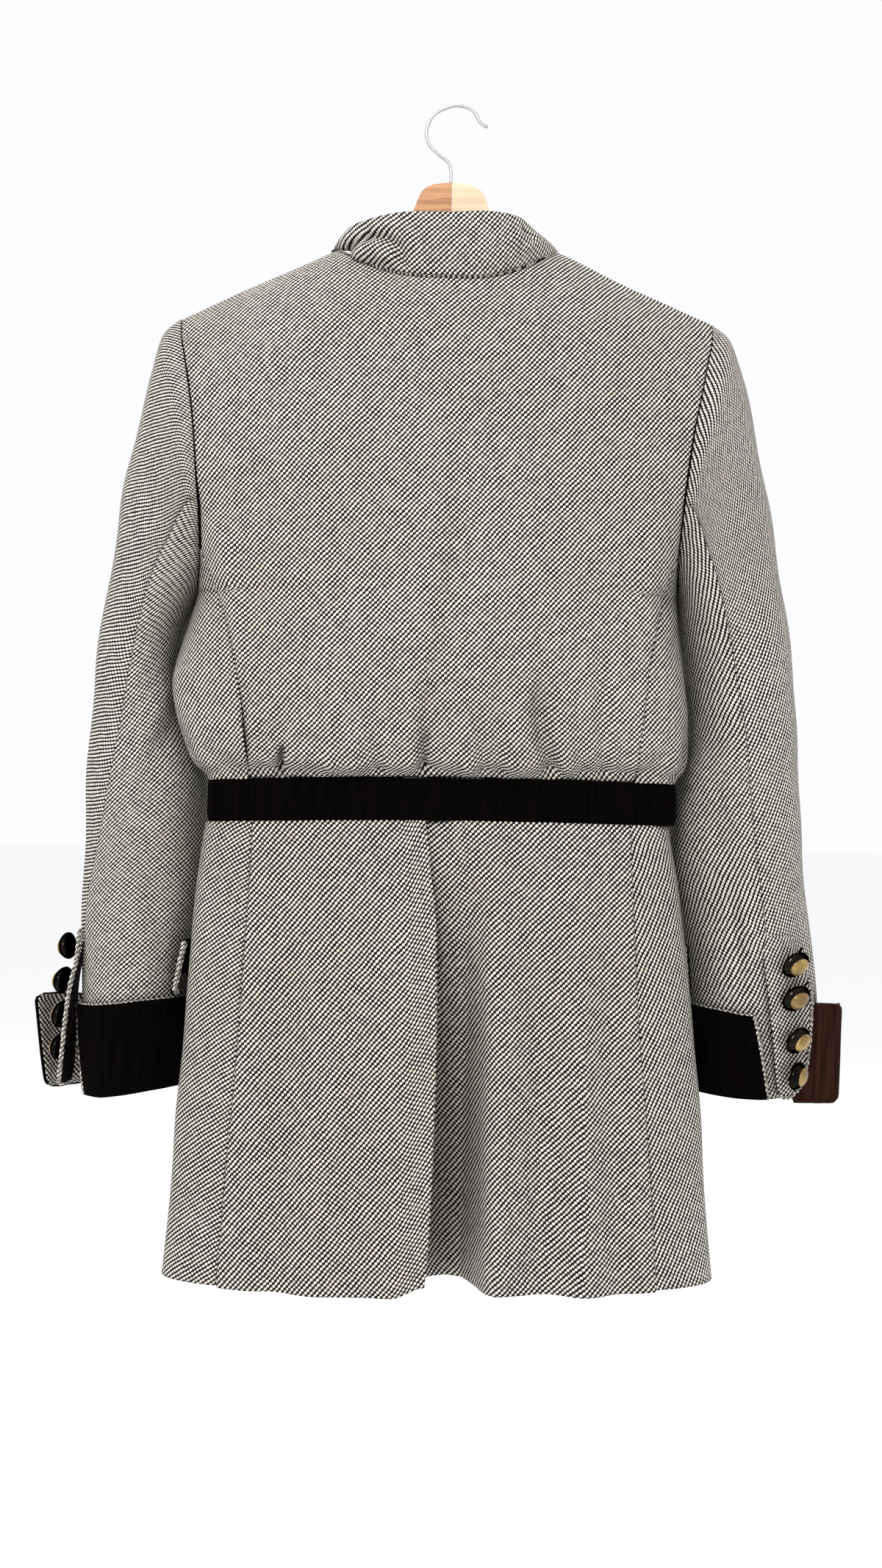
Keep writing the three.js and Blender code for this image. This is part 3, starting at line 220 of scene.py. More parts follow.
def wander(a, b, seed, size, amount, waves=7):
    # gentle unevenness, from a few waves in seeded directions
    draw = np.random.default_rng(seed)
    total = 0 * a
    for _ in range(waves):
        turn = draw.uniform(0, math.pi)
        wave = size * draw.uniform(0.6, 1.7)
        phase = draw.uniform(0, 2 * math.pi)
        total = total + np.sin((a * math.cos(turn) + b * math.sin(turn)) * 2 * math.pi / wave + phase)
    return total * amount / 2.2  # about the usual height of so many waves together


def fold(width, depth, fade, *path, skew=1):
    # a trough (+) or ridge (-) along (along, across) points; fade is how long its two ends take to die away
    return {"width": width, "depth": depth, "fade": fade, "path": sorted(path), "skew": skew}


def foldField(folds, along, across):
    total = 0 * along
    for shape in folds:
        path = np.array(shape["path"], float)
        rows = {"a": path[:, 0], "c": path[:, 1]}
        centre = look(rows, "a", along, "c")
        low, high = path[0, 0], path[-1, 0]
        fadeLow, fadeHigh = shape["fade"]
        inside = ramp(along, low - fadeLow * 0.2, low + fadeLow * 0.8) if fadeLow else along >= low
        inside = inside * ramp(along, high + fadeHigh * 0.5, high - fadeHigh * 0.5)
        offset = across - centre
        width = shape["width"] * np.where(offset > 0, shape["skew"], 1)
        total = total + shape["depth"] * inside * bell(offset, width)
    return total


def crease(width, depth, ends, *path):
    # a crease (+) or swelling (-) along a free curve of (x, z) points; ends is the share that dies away at each end
    return {"width": width, "depth": depth, "ends": ends, "path": path}


def creaseField(creases, x, z):
    total = 0 * x
    for shape in creases:
        path = np.array(shape["path"], float)
        lengths = np.linalg.norm(np.diff(path, axis=0), axis=1)
        done, whole = 0, lengths.sum()
        nearest, share = 0 * x + 1e6, 0 * x
        for (x0, z0), (x1, z1), length in zip(path[:-1], path[1:], lengths):
            t = clamp(((x - x0) * (x1 - x0) + (z - z0) * (z1 - z0)) / length**2, 0, 1)
            away = np.hypot(x - mix(x0, x1, t), z - mix(z0, z1, t))
            share = np.where(away < nearest, (done + t * length) / whole, share)
            nearest = np.minimum(nearest, away)
            done += length
        fade = ramp(share, 0, shape["ends"]) * ramp(share, 1, 1 - shape["ends"])
        total = total + shape["depth"] * bell(nearest, shape["width"]) * fade
    return total


# the body's surface
bothSides = ("left", "right")
signOf = {"left": -1, "right": 1}


def edgeOf(z, side):
    above = look(armholeEdge, "z", z, side)
    return np.where(z > armhole["bottomZ"], above, look(bodyWidth, "z", z, side))


def shoulderLine(x):
    out = np.abs(x)
    inner = mix(shoulder["crownZ"], neck["shoulderZ"], out / neck["halfWidth"])
    reach = (out - neck["halfWidth"]) / (shoulder["tipX"] - neck["halfWidth"])
    return np.where(out < neck["halfWidth"], inner, mix(neck["shoulderZ"], shoulder["tipZ"], reach))


def backNeckLine(x):
    share = np.minimum(np.abs(x) / neck["halfWidth"], 1)
    return mix(neck["backZ"], neck["shoulderZ"], share ** neck["curve"])


def frontNeckLine(x):
    share = np.minimum(np.abs(x) / neck["halfWidth"], 1)
    return neck["shoulderZ"] + (neck["frontZ"] - neck["shoulderZ"]) * (1 - share**2) ** 0.75


armholeMiddle = (armhole["topZ"] + armhole["bottomZ"]) / 2
armholeHalf = (armhole["topZ"] - armhole["bottomZ"]) / 2


def armholeDepth(z):
    return armhole["halfDepth"] * np.sqrt(np.maximum(0, 1 - ((z - armholeMiddle) / armholeHalf) ** 2))


def bodyY(x, z, face):
    half = np.where(x < 0, edgeOf(z, "left"), edgeOf(z, "right"))
    share = np.minimum(np.abs(x) / half, 1)
    full = look(bodyDepth, "z", z, "back" if face < 0 else "front")
    below = shoulderLine(x) - z
    fall = clamp(below / shoulder["round"], 0, 1)
    rounded = full * np.sqrt(1 - (1 - fall) ** 2)
    # near the shoulder line the edge is as rounded as the top of the armhole
    lift = (shoulderLine(x) - shoulder["tipZ"]) * clamp(1 - below / shoulder["levelDepth"], 0, 1)
    side = look(bodyDepth, "z", z, "side")
    edge = np.where(z > armhole["bottomZ"], face * armholeDepth(z - lift), side)
    root = mix(1, sectionPower, ramp(z, armhole["squareZ"], armhole["bottomZ"]))
    crown = (1 - share**sectionPower) ** (1 / root)
    return edge + (face * rounded - edge) * crown


def sectionLength(x, z, face, steps=40):
    # cloth from the centre line out to x, along a level section, in steps that shorten outward
    total, lastX, lastY = 0 * x, 0 * x, bodyY(0 * x, z, face)
    for share in np.sin(np.linspace(0, math.pi / 2, steps + 1))[1:]:
        nextX = x * share
        y = bodyY(nextX, z, face)
        total = total + np.hypot(nextX - lastX, y - lastY)
        lastX, lastY = nextX, y
    return np.sign(x) * total


def riseLength(x, z, face, steps=24, inward=0.75):
    # cloth up from the waist to z, measured a little inward, where the panel is smooth
    low = waist["topZ"]
    total, lastY = 0 * z, bodyY(x * inward, low + 0 * z, face)
    for share in np.linspace(0, 1, steps + 1)[1:]:
        y = bodyY(x * inward, mix(low, z, share), face)
        total = total + np.hypot((z - low) / steps, y - lastY)
        lastY = y
    return np.sign(z - low) * total


def bandTop(x):
    return waist["topZ"] - waist["endDrop"] * (x / waist["halfWidth"]) ** 2


def bandBottom(x):
    return bandTop(x) - waist["height"]


def bodiceSeamX(z, side, face):
    base = look(bodiceSeam, "z", z, "back" if face < 0 else "front")
    reach = look(armholeEdge, "z", armhole["seamZ"], side) - armhole["seamX"]
    return base + reach * ramp(z, armhole["fanZ"], armhole["seamZ"])


def bodiceEdgeX(z, side, face):
    return np.where(z > armhole["seamZ"], look(armholeEdge, "z", z, side), bodiceSeamX(z, side, face))


def lapInward(side, x):
    if side == "right":
        return 0 * x
    return closure["lapClear"] * ramp(np.abs(x), closure["fadeFromX"], closure["fadeToX"])


def sidePoint(w, z, side, seamBack, seamFront):
    # round the side at a height, from the back seam (w = 0) to the front seam (w = 1)
    half = look(bodyWidth, "z", z, side)
    middle = look(bodyDepth, "z", z, "side")
    backDeep = look(bodyDepth, "z", z, "back") + middle
    frontDeep = look(bodyDepth, "z", z, "front") - middle

    def angleOf(x):
        return np.arcsin(np.minimum(1, (x / half) ** (sectionPower / 2)))

    def pointAt(angle):
        turn = np.cos(angle)
        deep = np.where(turn >= 0, backDeep, frontDeep)
        x = half * np.abs(np.sin(angle)) ** (2 / sectionPower)
        return signOf[side] * x, middle - np.sign(turn) * deep * np.abs(turn) ** (2 / sectionPower)

    start, end = angleOf(seamBack), math.pi - angleOf(seamFront)
    x, y = pointAt(mix(start, end, w))
    for seam, face, angle, pull in ((seamBack, -1, start, (1 - w) ** 2), (seamFront, 1, end, w**2)):
        nearX, nearY = pointAt(angle)
        x = x + (signOf[side] * seam - nearX) * pull
        y = y + (bodyY(signOf[side] * seam, z, face) - nearY) * pull
    return x, y


def armholePoint(angle, side):
    turn = np.radians(angle)
    z = armholeMiddle + armholeHalf * np.cos(turn)
    return signOf[side] * look(armholeEdge, "z", z, side), -armhole["halfDepth"] * np.sin(turn), z


# the sleeve's surface
lastRing = len(sleeveRings["right"]["y"]) - 1
for rows in sleeveRings.values():
    rows["ring"] = np.arange(lastRing + 1.0)
sleeve = {"gap": 0.9, "gapRings": 1.5, "armholeRings": 7, "ventDrop": 7, "ventAngle": {"right": 66, "left": 14},
          "ventWidth": 42, "ventRings": 0.4, "wristOut": {"left": 0, "right": 16}, "wristFrom": -560, "wristTo": -725,
          "wristAngle": -6, "wristWidth": 26}


def sleevePoint(side, ring, angle, off=0):
    value = {name: look(sleeveRings[side], "ring", ring, name) for name in sleeveRings[side]}
    turn = np.radians(angle)
    reach = (1 + np.cos(turn)) / 2
    x = mix(value["innerX"], value["outerX"], reach)
    z = mix(value["innerZ"], value["outerZ"], reach)
    armX = look(armholeEdge, "z", mix(armhole["bottomZ"], armhole["topZ"], reach), side)
    straightX = mix(look(armholeEdge, "z", armhole["bottomZ"], side), shoulder["tipX"], reach)
    x = x + (armX - straightX) * (1 - ramp(ring, 0, sleeve["armholeRings"]))
    x = x - value["tuck"] * (1 - reach) ** 4
    y = value["y"] - value["depth"] * np.sin(turn)
    wide = (value["outerX"] - value["innerX"]) / 2
    outX, outY = np.cos(turn) / wide, -np.sin(turn) / value["depth"]
    size = np.hypot(outX, outY)
    return signOf[side] * (x + off * outX / size), y + off * outY / size, z


def seamAngle(side, ring, which):
    return look(sleeveSeam[side], "ring", ring, which)


def tonguePoint(side, w, z):
    value = {name: look(tongueRows[side], "z", z, name) for name in tongueRows[side]}
    alongX, alongY = value["frontX"] - value["ventX"], value["frontY"] - value["ventY"]
    size = np.hypot(alongX, alongY)
    bow = value["bow"] * 4 * w * (1 - w)
    x = value["ventX"] + alongX * w + bow * alongY / size
    y = value["ventY"] + alongY * w - bow * alongX / size
    return signOf[side] * x, y, z + 0 * x


# cloth shells
def gridNormals(points):
    du = np.gradient(points, axis=0)
    dv = np.gradient(points, axis=1)
    normal = np.cross(du, dv)
    return normal / np.maximum(np.linalg.norm(normal, axis=-1, keepdims=True), 1e-9)


def arcLengths(points):
    alongU = np.linalg.norm(np.diff(points, axis=0), axis=-1)
    alongV = np.linalg.norm(np.diff(points, axis=1), axis=-1)
    lengthU = np.concatenate((np.zeros((1, points.shape[1])), np.cumsum(alongU, axis=0)), axis=0)
    lengthV = np.concatenate((np.zeros((points.shape[0], 1)), np.cumsum(alongV, axis=1)), axis=1)
    return lengthU, lengthV


def turned(across, up, grain):
    # weave coordinates, with the rows turned by the grain in degrees
    turn = math.radians(grain)
    return np.stack((across * math.cos(turn) + up * math.sin(turn),
                     up * math.cos(turn) - across * math.sin(turn)), axis=-1)


def meshObject(name, vertices, faceSets, material, uvs=None):
    # from points in metres, sets of faces and, in millimetres, each point's place in the weave
    mesh = bpy.data.meshes.new(name)
    mesh.from_pydata(vertices, [], [face for faces in faceSets for face in np.asarray(faces).tolist()])
    mesh.polygons.foreach_set("use_smooth", np.ones(len(mesh.polygons), bool))
    if uvs is not None:
        corners = np.concatenate([faces.ravel() for faces in faceSets])
        mesh.uv_layers.new(name="weave").data.foreach_set("uv", (uvs[corners] / 1000).ravel())
    mesh.materials.append(material)
    piece = bpy.data.objects.new(name, mesh)
    bpy.context.collection.objects.link(piece)
    return piece


def placePiece(piece, slotName, *nodes):
    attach(piece, "root")
    if nodes:
        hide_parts(*nodes)
    return piece


flatSizes, shells = {}, {}


def clothShell(name, surface, spec, material, slotName, *nodes):
    # a thin wall with rounded rims; seen from outside, u runs right and v runs up
    columns, rows = spec["columns"], spec["rows"]
    u, v = np.meshgrid(np.linspace(0, 1, columns + 1), np.linspace(0, 1, rows + 1), indexing="ij")
    points = np.stack(surface(u, v), axis=-1)
    lengthU, lengthV = arcLengths(points)
    border = {"left": lengthU, "right": lengthU[-1:] - lengthU, "bottom": lengthV,
              "top": lengthV[:, -1:] - lengthV}
    # the weave follows the smooth form, and the folds only lift it
    acrossCloth = lengthU - lengthU[int(columns * spec.get("straightAt", 0.5))]
    upCloth = lengthV - lengthV[:, :1]
    if "across" in spec:
        acrossCloth = spec["across"](points, u, v)
    if "up" in spec:
        upCloth = spec["up"](points, u, v)
    relief = -spec["folds"](points, u, v) if "folds" in spec else 0 * u
    for edge, (depth, width) in spec.get("edges", {}).items():
        relief = relief - depth * bell(border[edge], width)
    points = points + gridNormals(points) * relief[..., None]
    # keep clear of the neighbours at the seams
    whole = slice(None)
    for cut, near in (((0, whole), (1, whole)), ((-1, whole), (-2, whole)), ((whole, 0), (whole, 1)),
                      ((whole, -1), (whole, -2))):
        way = points[near] - points[cut]
        points[cut] += way * cloth["seamGap"] / np.maximum(np.linalg.norm(way, axis=-1, keepdims=True), 1e-6)
    normals = gridNormals(points)
    wall = spec.get("wall", cloth["wall"])
    thick = np.broadcast_to(wall(u, v) if callable(wall) else wall, u.shape)[..., None]
    inner = points - normals * thick
    lengthU, lengthV = arcLengths(points)
    uvOuter = turned(acrossCloth, upCloth, spec["grain"])
    across, up = points[1:, 1:] - points[:-1, :-1], points[:-1, 1:] - points[1:, :-1]
    area = np.linalg.norm(np.cross(across, up), axis=-1).sum() / 2
    flatSizes[name] = [float(size) for size in (lengthU[-1].max(), lengthV[:, -1].max(), area)]
    grid = np.arange((columns + 1) * (rows + 1)).reshape(columns + 1, rows + 1)
    a, b, c, d = (corner.ravel() for corner in (grid[:-1, :-1], grid[1:, :-1], grid[1:, 1:], grid[:-1, 1:]))
    count = grid.size
    outerFaces = np.stack((a, b, c, d), axis=1)
    innerFaces = np.stack((a, d, c, b), axis=1) + count
    # the border, once round, with a rounded rim between the two faces
    ring = np.concatenate((grid[:-1, 0], grid[-1, :-1], grid[:0:-1, -1], grid[0, :0:-1]))
    flatOuter, flatInner = points.reshape(-1, 3), inner.reshape(-1, 3)
    inward = np.concatenate((grid[:-1, 1], grid[-2, :-1], grid[:0:-1, -2], grid[1, :0:-1]))
    way = flatOuter[ring] - flatOuter[inward]
    way /= np.maximum(np.linalg.norm(way, axis=-1, keepdims=True), 1e-6)
    rim = (flatOuter[ring] + flatInner[ring]) / 2 + way * spec.get("rim", 0.1) * thick.reshape(-1, 1)[ring]
    rimIndex = 2 * count + np.arange(len(ring))
    nextRing, nextRim = np.roll(ring, -1), np.roll(rimIndex, -1)
    rimFaces = np.concatenate((np.stack((ring, rimIndex, nextRim, nextRing), axis=1),
                               np.stack((rimIndex, ring + count, nextRing + count, nextRim), axis=1)))
    flatUv = uvOuter.reshape(-1, 2)
    piece = meshObject(name, (np.concatenate((flatOuter, flatInner, rim)) / 1000).tolist(),
                       (outerFaces, innerFaces, rimFaces), material, np.concatenate((flatUv, flatUv, flatUv[ring])))
    # a mask of painted sheen for the velvet, lighter where it is set
    if "paintedSheen" in spec:
        nap = spec["paintedSheen"](u, v).ravel()
        piece.data.attributes.new("paintedSheen", "FLOAT", "POINT").data.foreach_set(
            "value", np.concatenate((nap, nap, nap[ring])))
    shells[name] = piece
    return placePiece(piece, slotName, *nodes)


def tube(name, path, radius, material, slotName, sides=10, twist=0, lobes=0, grain=0, nodes=(),
         endShare=(0.6, 0.92, 1)):
    # a round cord along points: twist is its pitch, lobes how deep its two strands show, endShare rounds the ends
    path = np.array(path, float)
    length = runLength(path)
    tangent = np.gradient(path, axis=0)
    tangent /= np.linalg.norm(tangent, axis=1, keepdims=True)
    side = np.cross(tangent[0], [0.3, 0.2, 1]) if abs(tangent[0][2]) < 0.9 else np.cross(tangent[0], [1, 0, 0])
    frames = []
    for t in tangent:
        side = side - t * np.dot(side, t)
        side /= np.linalg.norm(side)
        frames.append((side, np.cross(t, side)))
    angles = np.linspace(0, 2 * math.pi, sides, endpoint=False)
    vertices, uvs = [], []
    for i, (across, up) in enumerate(frames):
        turn = 2 * math.pi * length[i] / twist if twist else 0
        r = radius * endShare[min(i, len(path) - 1 - i, 2)] * (1 + lobes * np.cos(2 * angles - turn))
        vertices.append(path[i] + np.outer(np.cos(angles) * r, across) + np.outer(np.sin(angles) * r, up))
        uvs.append(np.stack((np.full(sides, length[i]), angles * radius), axis=-1))
    vertices.append(path[[0]])
    vertices.append(path[[-1]])
    uvs += [np.array([[0, 0]]), np.array([[length[-1], 0]])]
    count = len(path)
    around = np.arange(sides)
    rings = np.arange(count - 1)[:, None] * sides
    i, j = (rings + around).ravel(), (rings + (around + 1) % sides).ravel()
    quads = np.stack((i, j, j + sides, i + sides), axis=1)
    first = np.stack((np.full(sides, count * sides), (around + 1) % sides, around), axis=1)
    base = (count - 1) * sides
    last = np.stack((np.full(sides, count * sides + 1), base + around, base + (around + 1) % sides), axis=1)
    uv = turned(*np.concatenate(uvs).T, grain)
    piece = meshObject(name, (np.concatenate(vertices) / 1000).tolist(), (quads, first, last), material, uv)
    return placePiece(piece, slotName, *nodes)


# finishes
def setInputs(tree, node, inputs):
    # an input takes a socket to link from, or a plain value
    for label, value in inputs.items():
        if isinstance(value, bpy.types.NodeSocket):
            tree.links.new(value, node.inputs[label])
        elif value is not None:
            node.inputs[label].default_value = value


def addNode(tree, kind, inputs, **settings):
    node = tree.nodes.new("ShaderNode" + kind)
    for name, value in settings.items():
        setattr(node, name, value)
    setInputs(tree, node, inputs)
    return node


def newGroup(name, inputs, outputs):
    group = bpy.data.node_groups.new(name, "ShaderNodeTree")
    for label, kind, value in inputs:
        socket = group.interface.new_socket(name=label, in_out="INPUT", socket_type="NodeSocket" + kind)
        socket.default_value = value
    for label in outputs:
        group.interface.new_socket(name=label, in_out="OUTPUT", socket_type="NodeSocketFloat")
    return group, group.nodes.new("NodeGroupInput").outputs, group.nodes.new("NodeGroupOutput")


def mathNode(tree, operation, a, b=None, c=None):
    return addNode(tree, "Math", {0: a, 1: b, 2: c}, operation=operation).outputs[0]


def rangeNode(tree, value, fromLow, fromHigh, toLow=0, toHigh=1, kind="SMOOTHSTEP"):
    inputs = {"Value": value, "From Min": fromLow, "From Max": fromHigh, "To Min": toLow, "To Max": toHigh}
    return addNode(tree, "MapRange", inputs, interpolation_type=kind).outputs[0]


def noiseNode(tree, vector, scale, detail=3, roughness=0.5, output=0):
    inputs = {"Scale": scale, "Detail": detail, "Roughness": roughness, "Vector": vector}
    return addNode(tree, "TexNoise", inputs).outputs[output]


def stretched(tree, vector, scale):
    return addNode(tree, "Mapping", {"Scale": scale, "Vector": vector}).outputs[0]


def mixColor(tree, share, a, b, blend="MIX"):
    a, b = ((*color, 1) if isinstance(color, tuple) else color for color in (a, b))
    return addNode(tree, "Mix", {0: share, 6: a, 7: b}, data_type="RGBA", blend_type=blend).outputs[2]


def bumpNode(tree, height, distance, strength):
    return addNode(tree, "Bump", {"Strength": strength, "Distance": distance, "Height": height}).outputs[0]


dotShape = {"halfAlong": 0.49, "halfAcross": 0.34, "uneven": 0.3, "sizes": (0.18, 0.91), "edge": (1.12, 0.9),
            "sway": 2.2, "fibre": 0.35}


def makeWeaveGroup():
    # rows of raised dots: rows run along the first weave coordinate
    group, inlet, outlet = newGroup("dottedWeave", [
        ("Vector", "Vector", (0, 0, 0)), ("Dot Pitch", "Float", 2.8), ("Row Pitch", "Float", 2.9),
        ("Dot Size", "Float", 1.0), ("Stagger", "Float", 0.09),
    ], ("Dot", "Height", "Tint", "Fibre"))
    scaled = addNode(group, "VectorMath", {0: inlet["Vector"], "Scale": 1000}, operation="SCALE").outputs[0]
    sway = noiseNode(group, scaled, 0.06, 2, output="Color")
    swayed = addNode(group, "VectorMath", {0: sway, 1: (dotShape["sway"], dotShape["sway"], 0), 2: scaled},
                     operation="MULTIPLY_ADD").outputs[0]
    split = addNode(group, "SeparateXYZ", {0: swayed}).outputs
    q = mathNode(group, "DIVIDE", split["Y"], inlet["Row Pitch"])
    row = mathNode(group, "FLOOR", q)
    shift = mathNode(group, "MULTIPLY", row, inlet["Stagger"])
    p = mathNode(group, "ADD", mathNode(group, "DIVIDE", split["X"], inlet["Dot Pitch"]), shift)
    place = mathNode(group, "FLOOR", p)
    cell = addNode(group, "CombineXYZ", {0: place, 1: row}).outputs[0]
    draw = addNode(group, "TexWhiteNoise", {"Vector": cell}, noise_dimensions="2D").outputs["Value"]
    fibre = noiseNode(group, scaled, 2.6, 4, roughness=0.7)
    alongDot = mathNode(group, "SUBTRACT", mathNode(group, "SUBTRACT", p, place), 0.5)
    acrossDot = mathNode(group, "SUBTRACT", mathNode(group, "SUBTRACT", q, row), 0.5)
    alongDot = mathNode(group, "DIVIDE", alongDot, dotShape["halfAlong"])
    acrossDot = mathNode(group, "DIVIDE", acrossDot, dotShape["halfAcross"])
    square = mathNode(group, "ADD", mathNode(group, "MULTIPLY", alongDot, alongDot),
                      mathNode(group, "MULTIPLY", acrossDot, acrossDot))
    reach = mathNode(group, "SQRT", square)
    wobble = mathNode(group, "MULTIPLY", mathNode(group, "SUBTRACT", fibre, 0.5), dotShape["uneven"])
    size = mathNode(group, "MULTIPLY_ADD", draw, *dotShape["sizes"])
    size = mathNode(group, "MULTIPLY", size, inlet["Dot Size"])
    reach = mathNode(group, "DIVIDE", mathNode(group, "ADD", reach, wobble), size)
    dot = rangeNode(group, reach, *dotShape["edge"])
    dome = mathNode(group, "SUBTRACT", 1, mathNode(group, "MULTIPLY", reach, reach))
    dome = mathNode(group, "MAXIMUM", dome, 0)
    height = mathNode(group, "MULTIPLY_ADD", fibre, dotShape["fibre"], mathNode(group, "SQRT", dome))
    setInputs(group, outlet, {"Dot": dot, "Height": height, "Tint": draw, "Fibre": fibre})
    return group


def makeNapGroup():
    # fine pile with brushed streaks and slow unevenness
    group, inlet, outlet = newGroup("softNap", [("Vector", "Vector", (0, 0, 0)), ("Pile Scale", "Float", 900.0)],
                                    ("Pile", "Streak", "Height"))
    pile = noiseNode(group, inlet["Vector"], inlet["Pile Scale"], 3)
    streak = noiseNode(group, stretched(group, inlet["Vector"], (260, 18, 60)), 1, 3)
    setInputs(group, outlet, {"Pile": pile, "Streak": streak,
                              "Height": mathNode(group, "MULTIPLY_ADD", streak, 0.4, pile)})
    return group


def newMaterial(name):
    material = bpy.data.materials.new(name)
    material.use_nodes = True
    return material, material.node_tree, material.node_tree.nodes["Principled BSDF"]


def weaveVector(tree):
    return addNode(tree, "UVMap", {}, uv_map="weave").outputs[0]


def objectVector(tree):
    return addNode(tree, "TexCoord", {}).outputs["Object"]


weaveGroup = makeWeaveGroup()
napGroup = makeNapGroup()

tweedLook = {
    "ground": (0.008, 0.0055, 0.0042),
    "groundWarm": (0.026, 0.015, 0.011),
    "cream": (0.9, 0.845, 0.768),
    "creamWarm": (0.81, 0.71, 0.57),
    "relief": 0.0011,
    "recessShade": (0.09, (0.2, 0.9), (0.42, 1.0)),  # reach in metres, openness seen, light left
    "shader": {"Roughness": 0.92, "Specular IOR Level": 0.05, "Sheen Weight": 0.02, "Sheen Roughness": 0.6},
}


def makeTweed(name, values=tweedLook, dotPitch=2.8, rowPitch=2.9, dotSize=0.94, stagger=0.09):
    material, tree, shader = newMaterial(name)
    weave = addNode(tree, "Group", {"Vector": weaveVector(tree), "Dot Pitch": dotPitch, "Row Pitch": rowPitch,
                                    "Dot Size": dotSize, "Stagger": stagger}, node_tree=weaveGroup).outputs
    slow = noiseNode(tree, objectVector(tree), 9, 3)
    ground = mixColor(tree, rangeNode(tree, weave["Fibre"], 0.45, 0.75), values["ground"], values["groundWarm"])
    warm = mathNode(tree, "MULTIPLY", rangeNode(tree, weave["Tint"], 0.55, 1.0),
                    rangeNode(tree, slow, 0.4, 0.65, 0.15, 0.9))
    cream = mixColor(tree, warm, values["cream"], values["creamWarm"])
    shade = rangeNode(tree, weave["Fibre"], 0.25, 0.55, 0.82, 1.0)
    cream = mixColor(tree, 1.0, cream, shade, "MULTIPLY")
    color = mixColor(tree, weave["Dot"], ground, cream)
    # painted shade: the colour darkens in folds and between the pieces, where light is lost
    reach, shown, left = values["recessShade"]
    openness = addNode(tree, "AmbientOcclusion", {"Distance": reach}, samples=6).outputs["AO"]
    color = mixColor(tree, 1.0, color, rangeNode(tree, openness, *shown, *left, kind="LINEAR"), "MULTIPLY")
    setInputs(tree, shader, {"Base Color": color, "Normal": bumpNode(tree, weave["Height"], values["relief"], 0.9),
                             **values["shader"]})
    return material


velvetLook = {
    "deep": (0.0006, 0.0004, 0.0004),
    "lit": (0.0022, 0.0012, 0.001),
    "paintedSheen": (0.036, 0.013, 0.008),
    "pileScale": 1400.0,
    "relief": 0.0004,
    "roughness": (0.85, 1.0),
    "shader": {"Specular IOR Level": 0.03, "Sheen Weight": 0.015, "Sheen Roughness": 0.35,
               "Sheen Tint": (0.5, 0.3, 0.22, 1)},
}


def makeVelvet(name, values=velvetLook):
    material, tree, shader = newMaterial(name)
    nap = addNode(tree, "Group", {"Vector": weaveVector(tree), "Pile Scale": values["pileScale"]},
                  node_tree=napGroup).outputs
    share = rangeNode(tree, nap["Streak"], 0.35, 0.75)
    color = mixColor(tree, share, values["deep"], values["lit"])
    # painted sheen: where the mask is set the velvet shows lighter brown, in streaks
    paintedSheen = addNode(tree, "Attribute", {}, attribute_name="paintedSheen").outputs["Fac"]
    streaks = rangeNode(tree, nap["Streak"], 0.3, 0.7, 0.35, 1.0)
    color = mixColor(tree, mathNode(tree, "MULTIPLY", paintedSheen, streaks), color, values["paintedSheen"])
    setInputs(tree, shader, {"Base Color": color, "Normal": bumpNode(tree, nap["Height"], values["relief"], 0.6),
                             "Roughness": rangeNode(tree, nap["Pile"], 0.2, 0.8, *values["roughness"]),
                             **values["shader"]})
    return material


def makeGloss(name, dark, light, scale, roughness, coat, metallic=0):
    material, tree, shader = newMaterial(name)
    cloud, plain = noiseNode(tree, objectVector(tree), scale, 4), 1 - metallic
    setInputs(tree, shader, {
        "Base Color": mixColor(tree, rangeNode(tree, cloud, 0.35, 0.7), dark, light),
        "Roughness": rangeNode(tree, cloud, 0.3, 0.8, roughness, roughness + 0.08),
        "Metallic": metallic, "Specular Tint": (plain, plain, plain, 1), "Coat Weight": coat, "Coat Roughness": 0.03})
    return material


woodLook = {
    "grain": (14, 60, 190),
    "fleck": (90, 500, 900),
    "relief": 0.0002,
    "shader": {"Roughness": 0.48, "Coat Weight": 0.15, "Coat Roughness": 0.3},
}


def makeWood(name, light, dark, spread, values=woodLook):
    material, tree, shader = newMaterial(name)
    grain = noiseNode(tree, stretched(tree, objectVector(tree), values["grain"]), 1, 5, roughness=0.65)
    fleck = noiseNode(tree, stretched(tree, objectVector(tree), values["fleck"]), 1, 2)
    share = mathNode(tree, "MULTIPLY", rangeNode(tree, grain, 0.35, 0.7), spread)
    color = mixColor(tree, share, light, dark)
    color = mixColor(tree, rangeNode(tree, fleck, 0.62, 0.74, 0, 0.45), color, dark)
    setInputs(tree, shader, {"Base Color": color, "Normal": bumpNode(tree, grain, values["relief"], 0.4),
                             **values["shader"]})
    return material


steelLook = {"scale": 700, "roughness": (0.2, 0.34), "dark": (0.5, 0.5, 0.5), "light": (0.66, 0.66, 0.65)}


def makeSteel(name, values=steelLook):
    material, tree, shader = newMaterial(name)
    draw = noiseNode(tree, objectVector(tree), values["scale"], 3)
    setInputs(tree, shader, {"Base Color": mixColor(tree, draw, values["dark"], values["light"]), "Metallic": 1,
                             "Roughness": rangeNode(tree, draw, 0.3, 0.7, *values["roughness"])})
    return material


tweed = makeTweed("tweed")
skirtTweed = makeTweed("skirtTweed", rowPitch=3.1, dotSize=0.92)
pipingTweed = makeTweed("pipingTweed", dotPitch=2.5, rowPitch=2.6, dotSize=1.05)
velvet = makeVelvet("velvet")
blackGloss = makeGloss("buttonBlack", dark=(0.008, 0.007, 0.0065), light=(0.02, 0.016, 0.013), scale=120,
                       roughness=0.04, coat=0, metallic=1)
amber = makeGloss("buttonStone", dark=(0.15, 0.085, 0.012), light=(0.42, 0.27, 0.06), scale=90, roughness=0.2,
                  coat=0.3)
beech = makeWood("beech", light=(0.66, 0.33, 0.14), dark=(0.33, 0.13, 0.045), spread=0.9)
paleWood = makeWood("paleWood", light=(0.84, 0.66, 0.45), dark=(0.62, 0.42, 0.24), spread=0.6)
steel = makeSteel("steel")
print("finishes made")


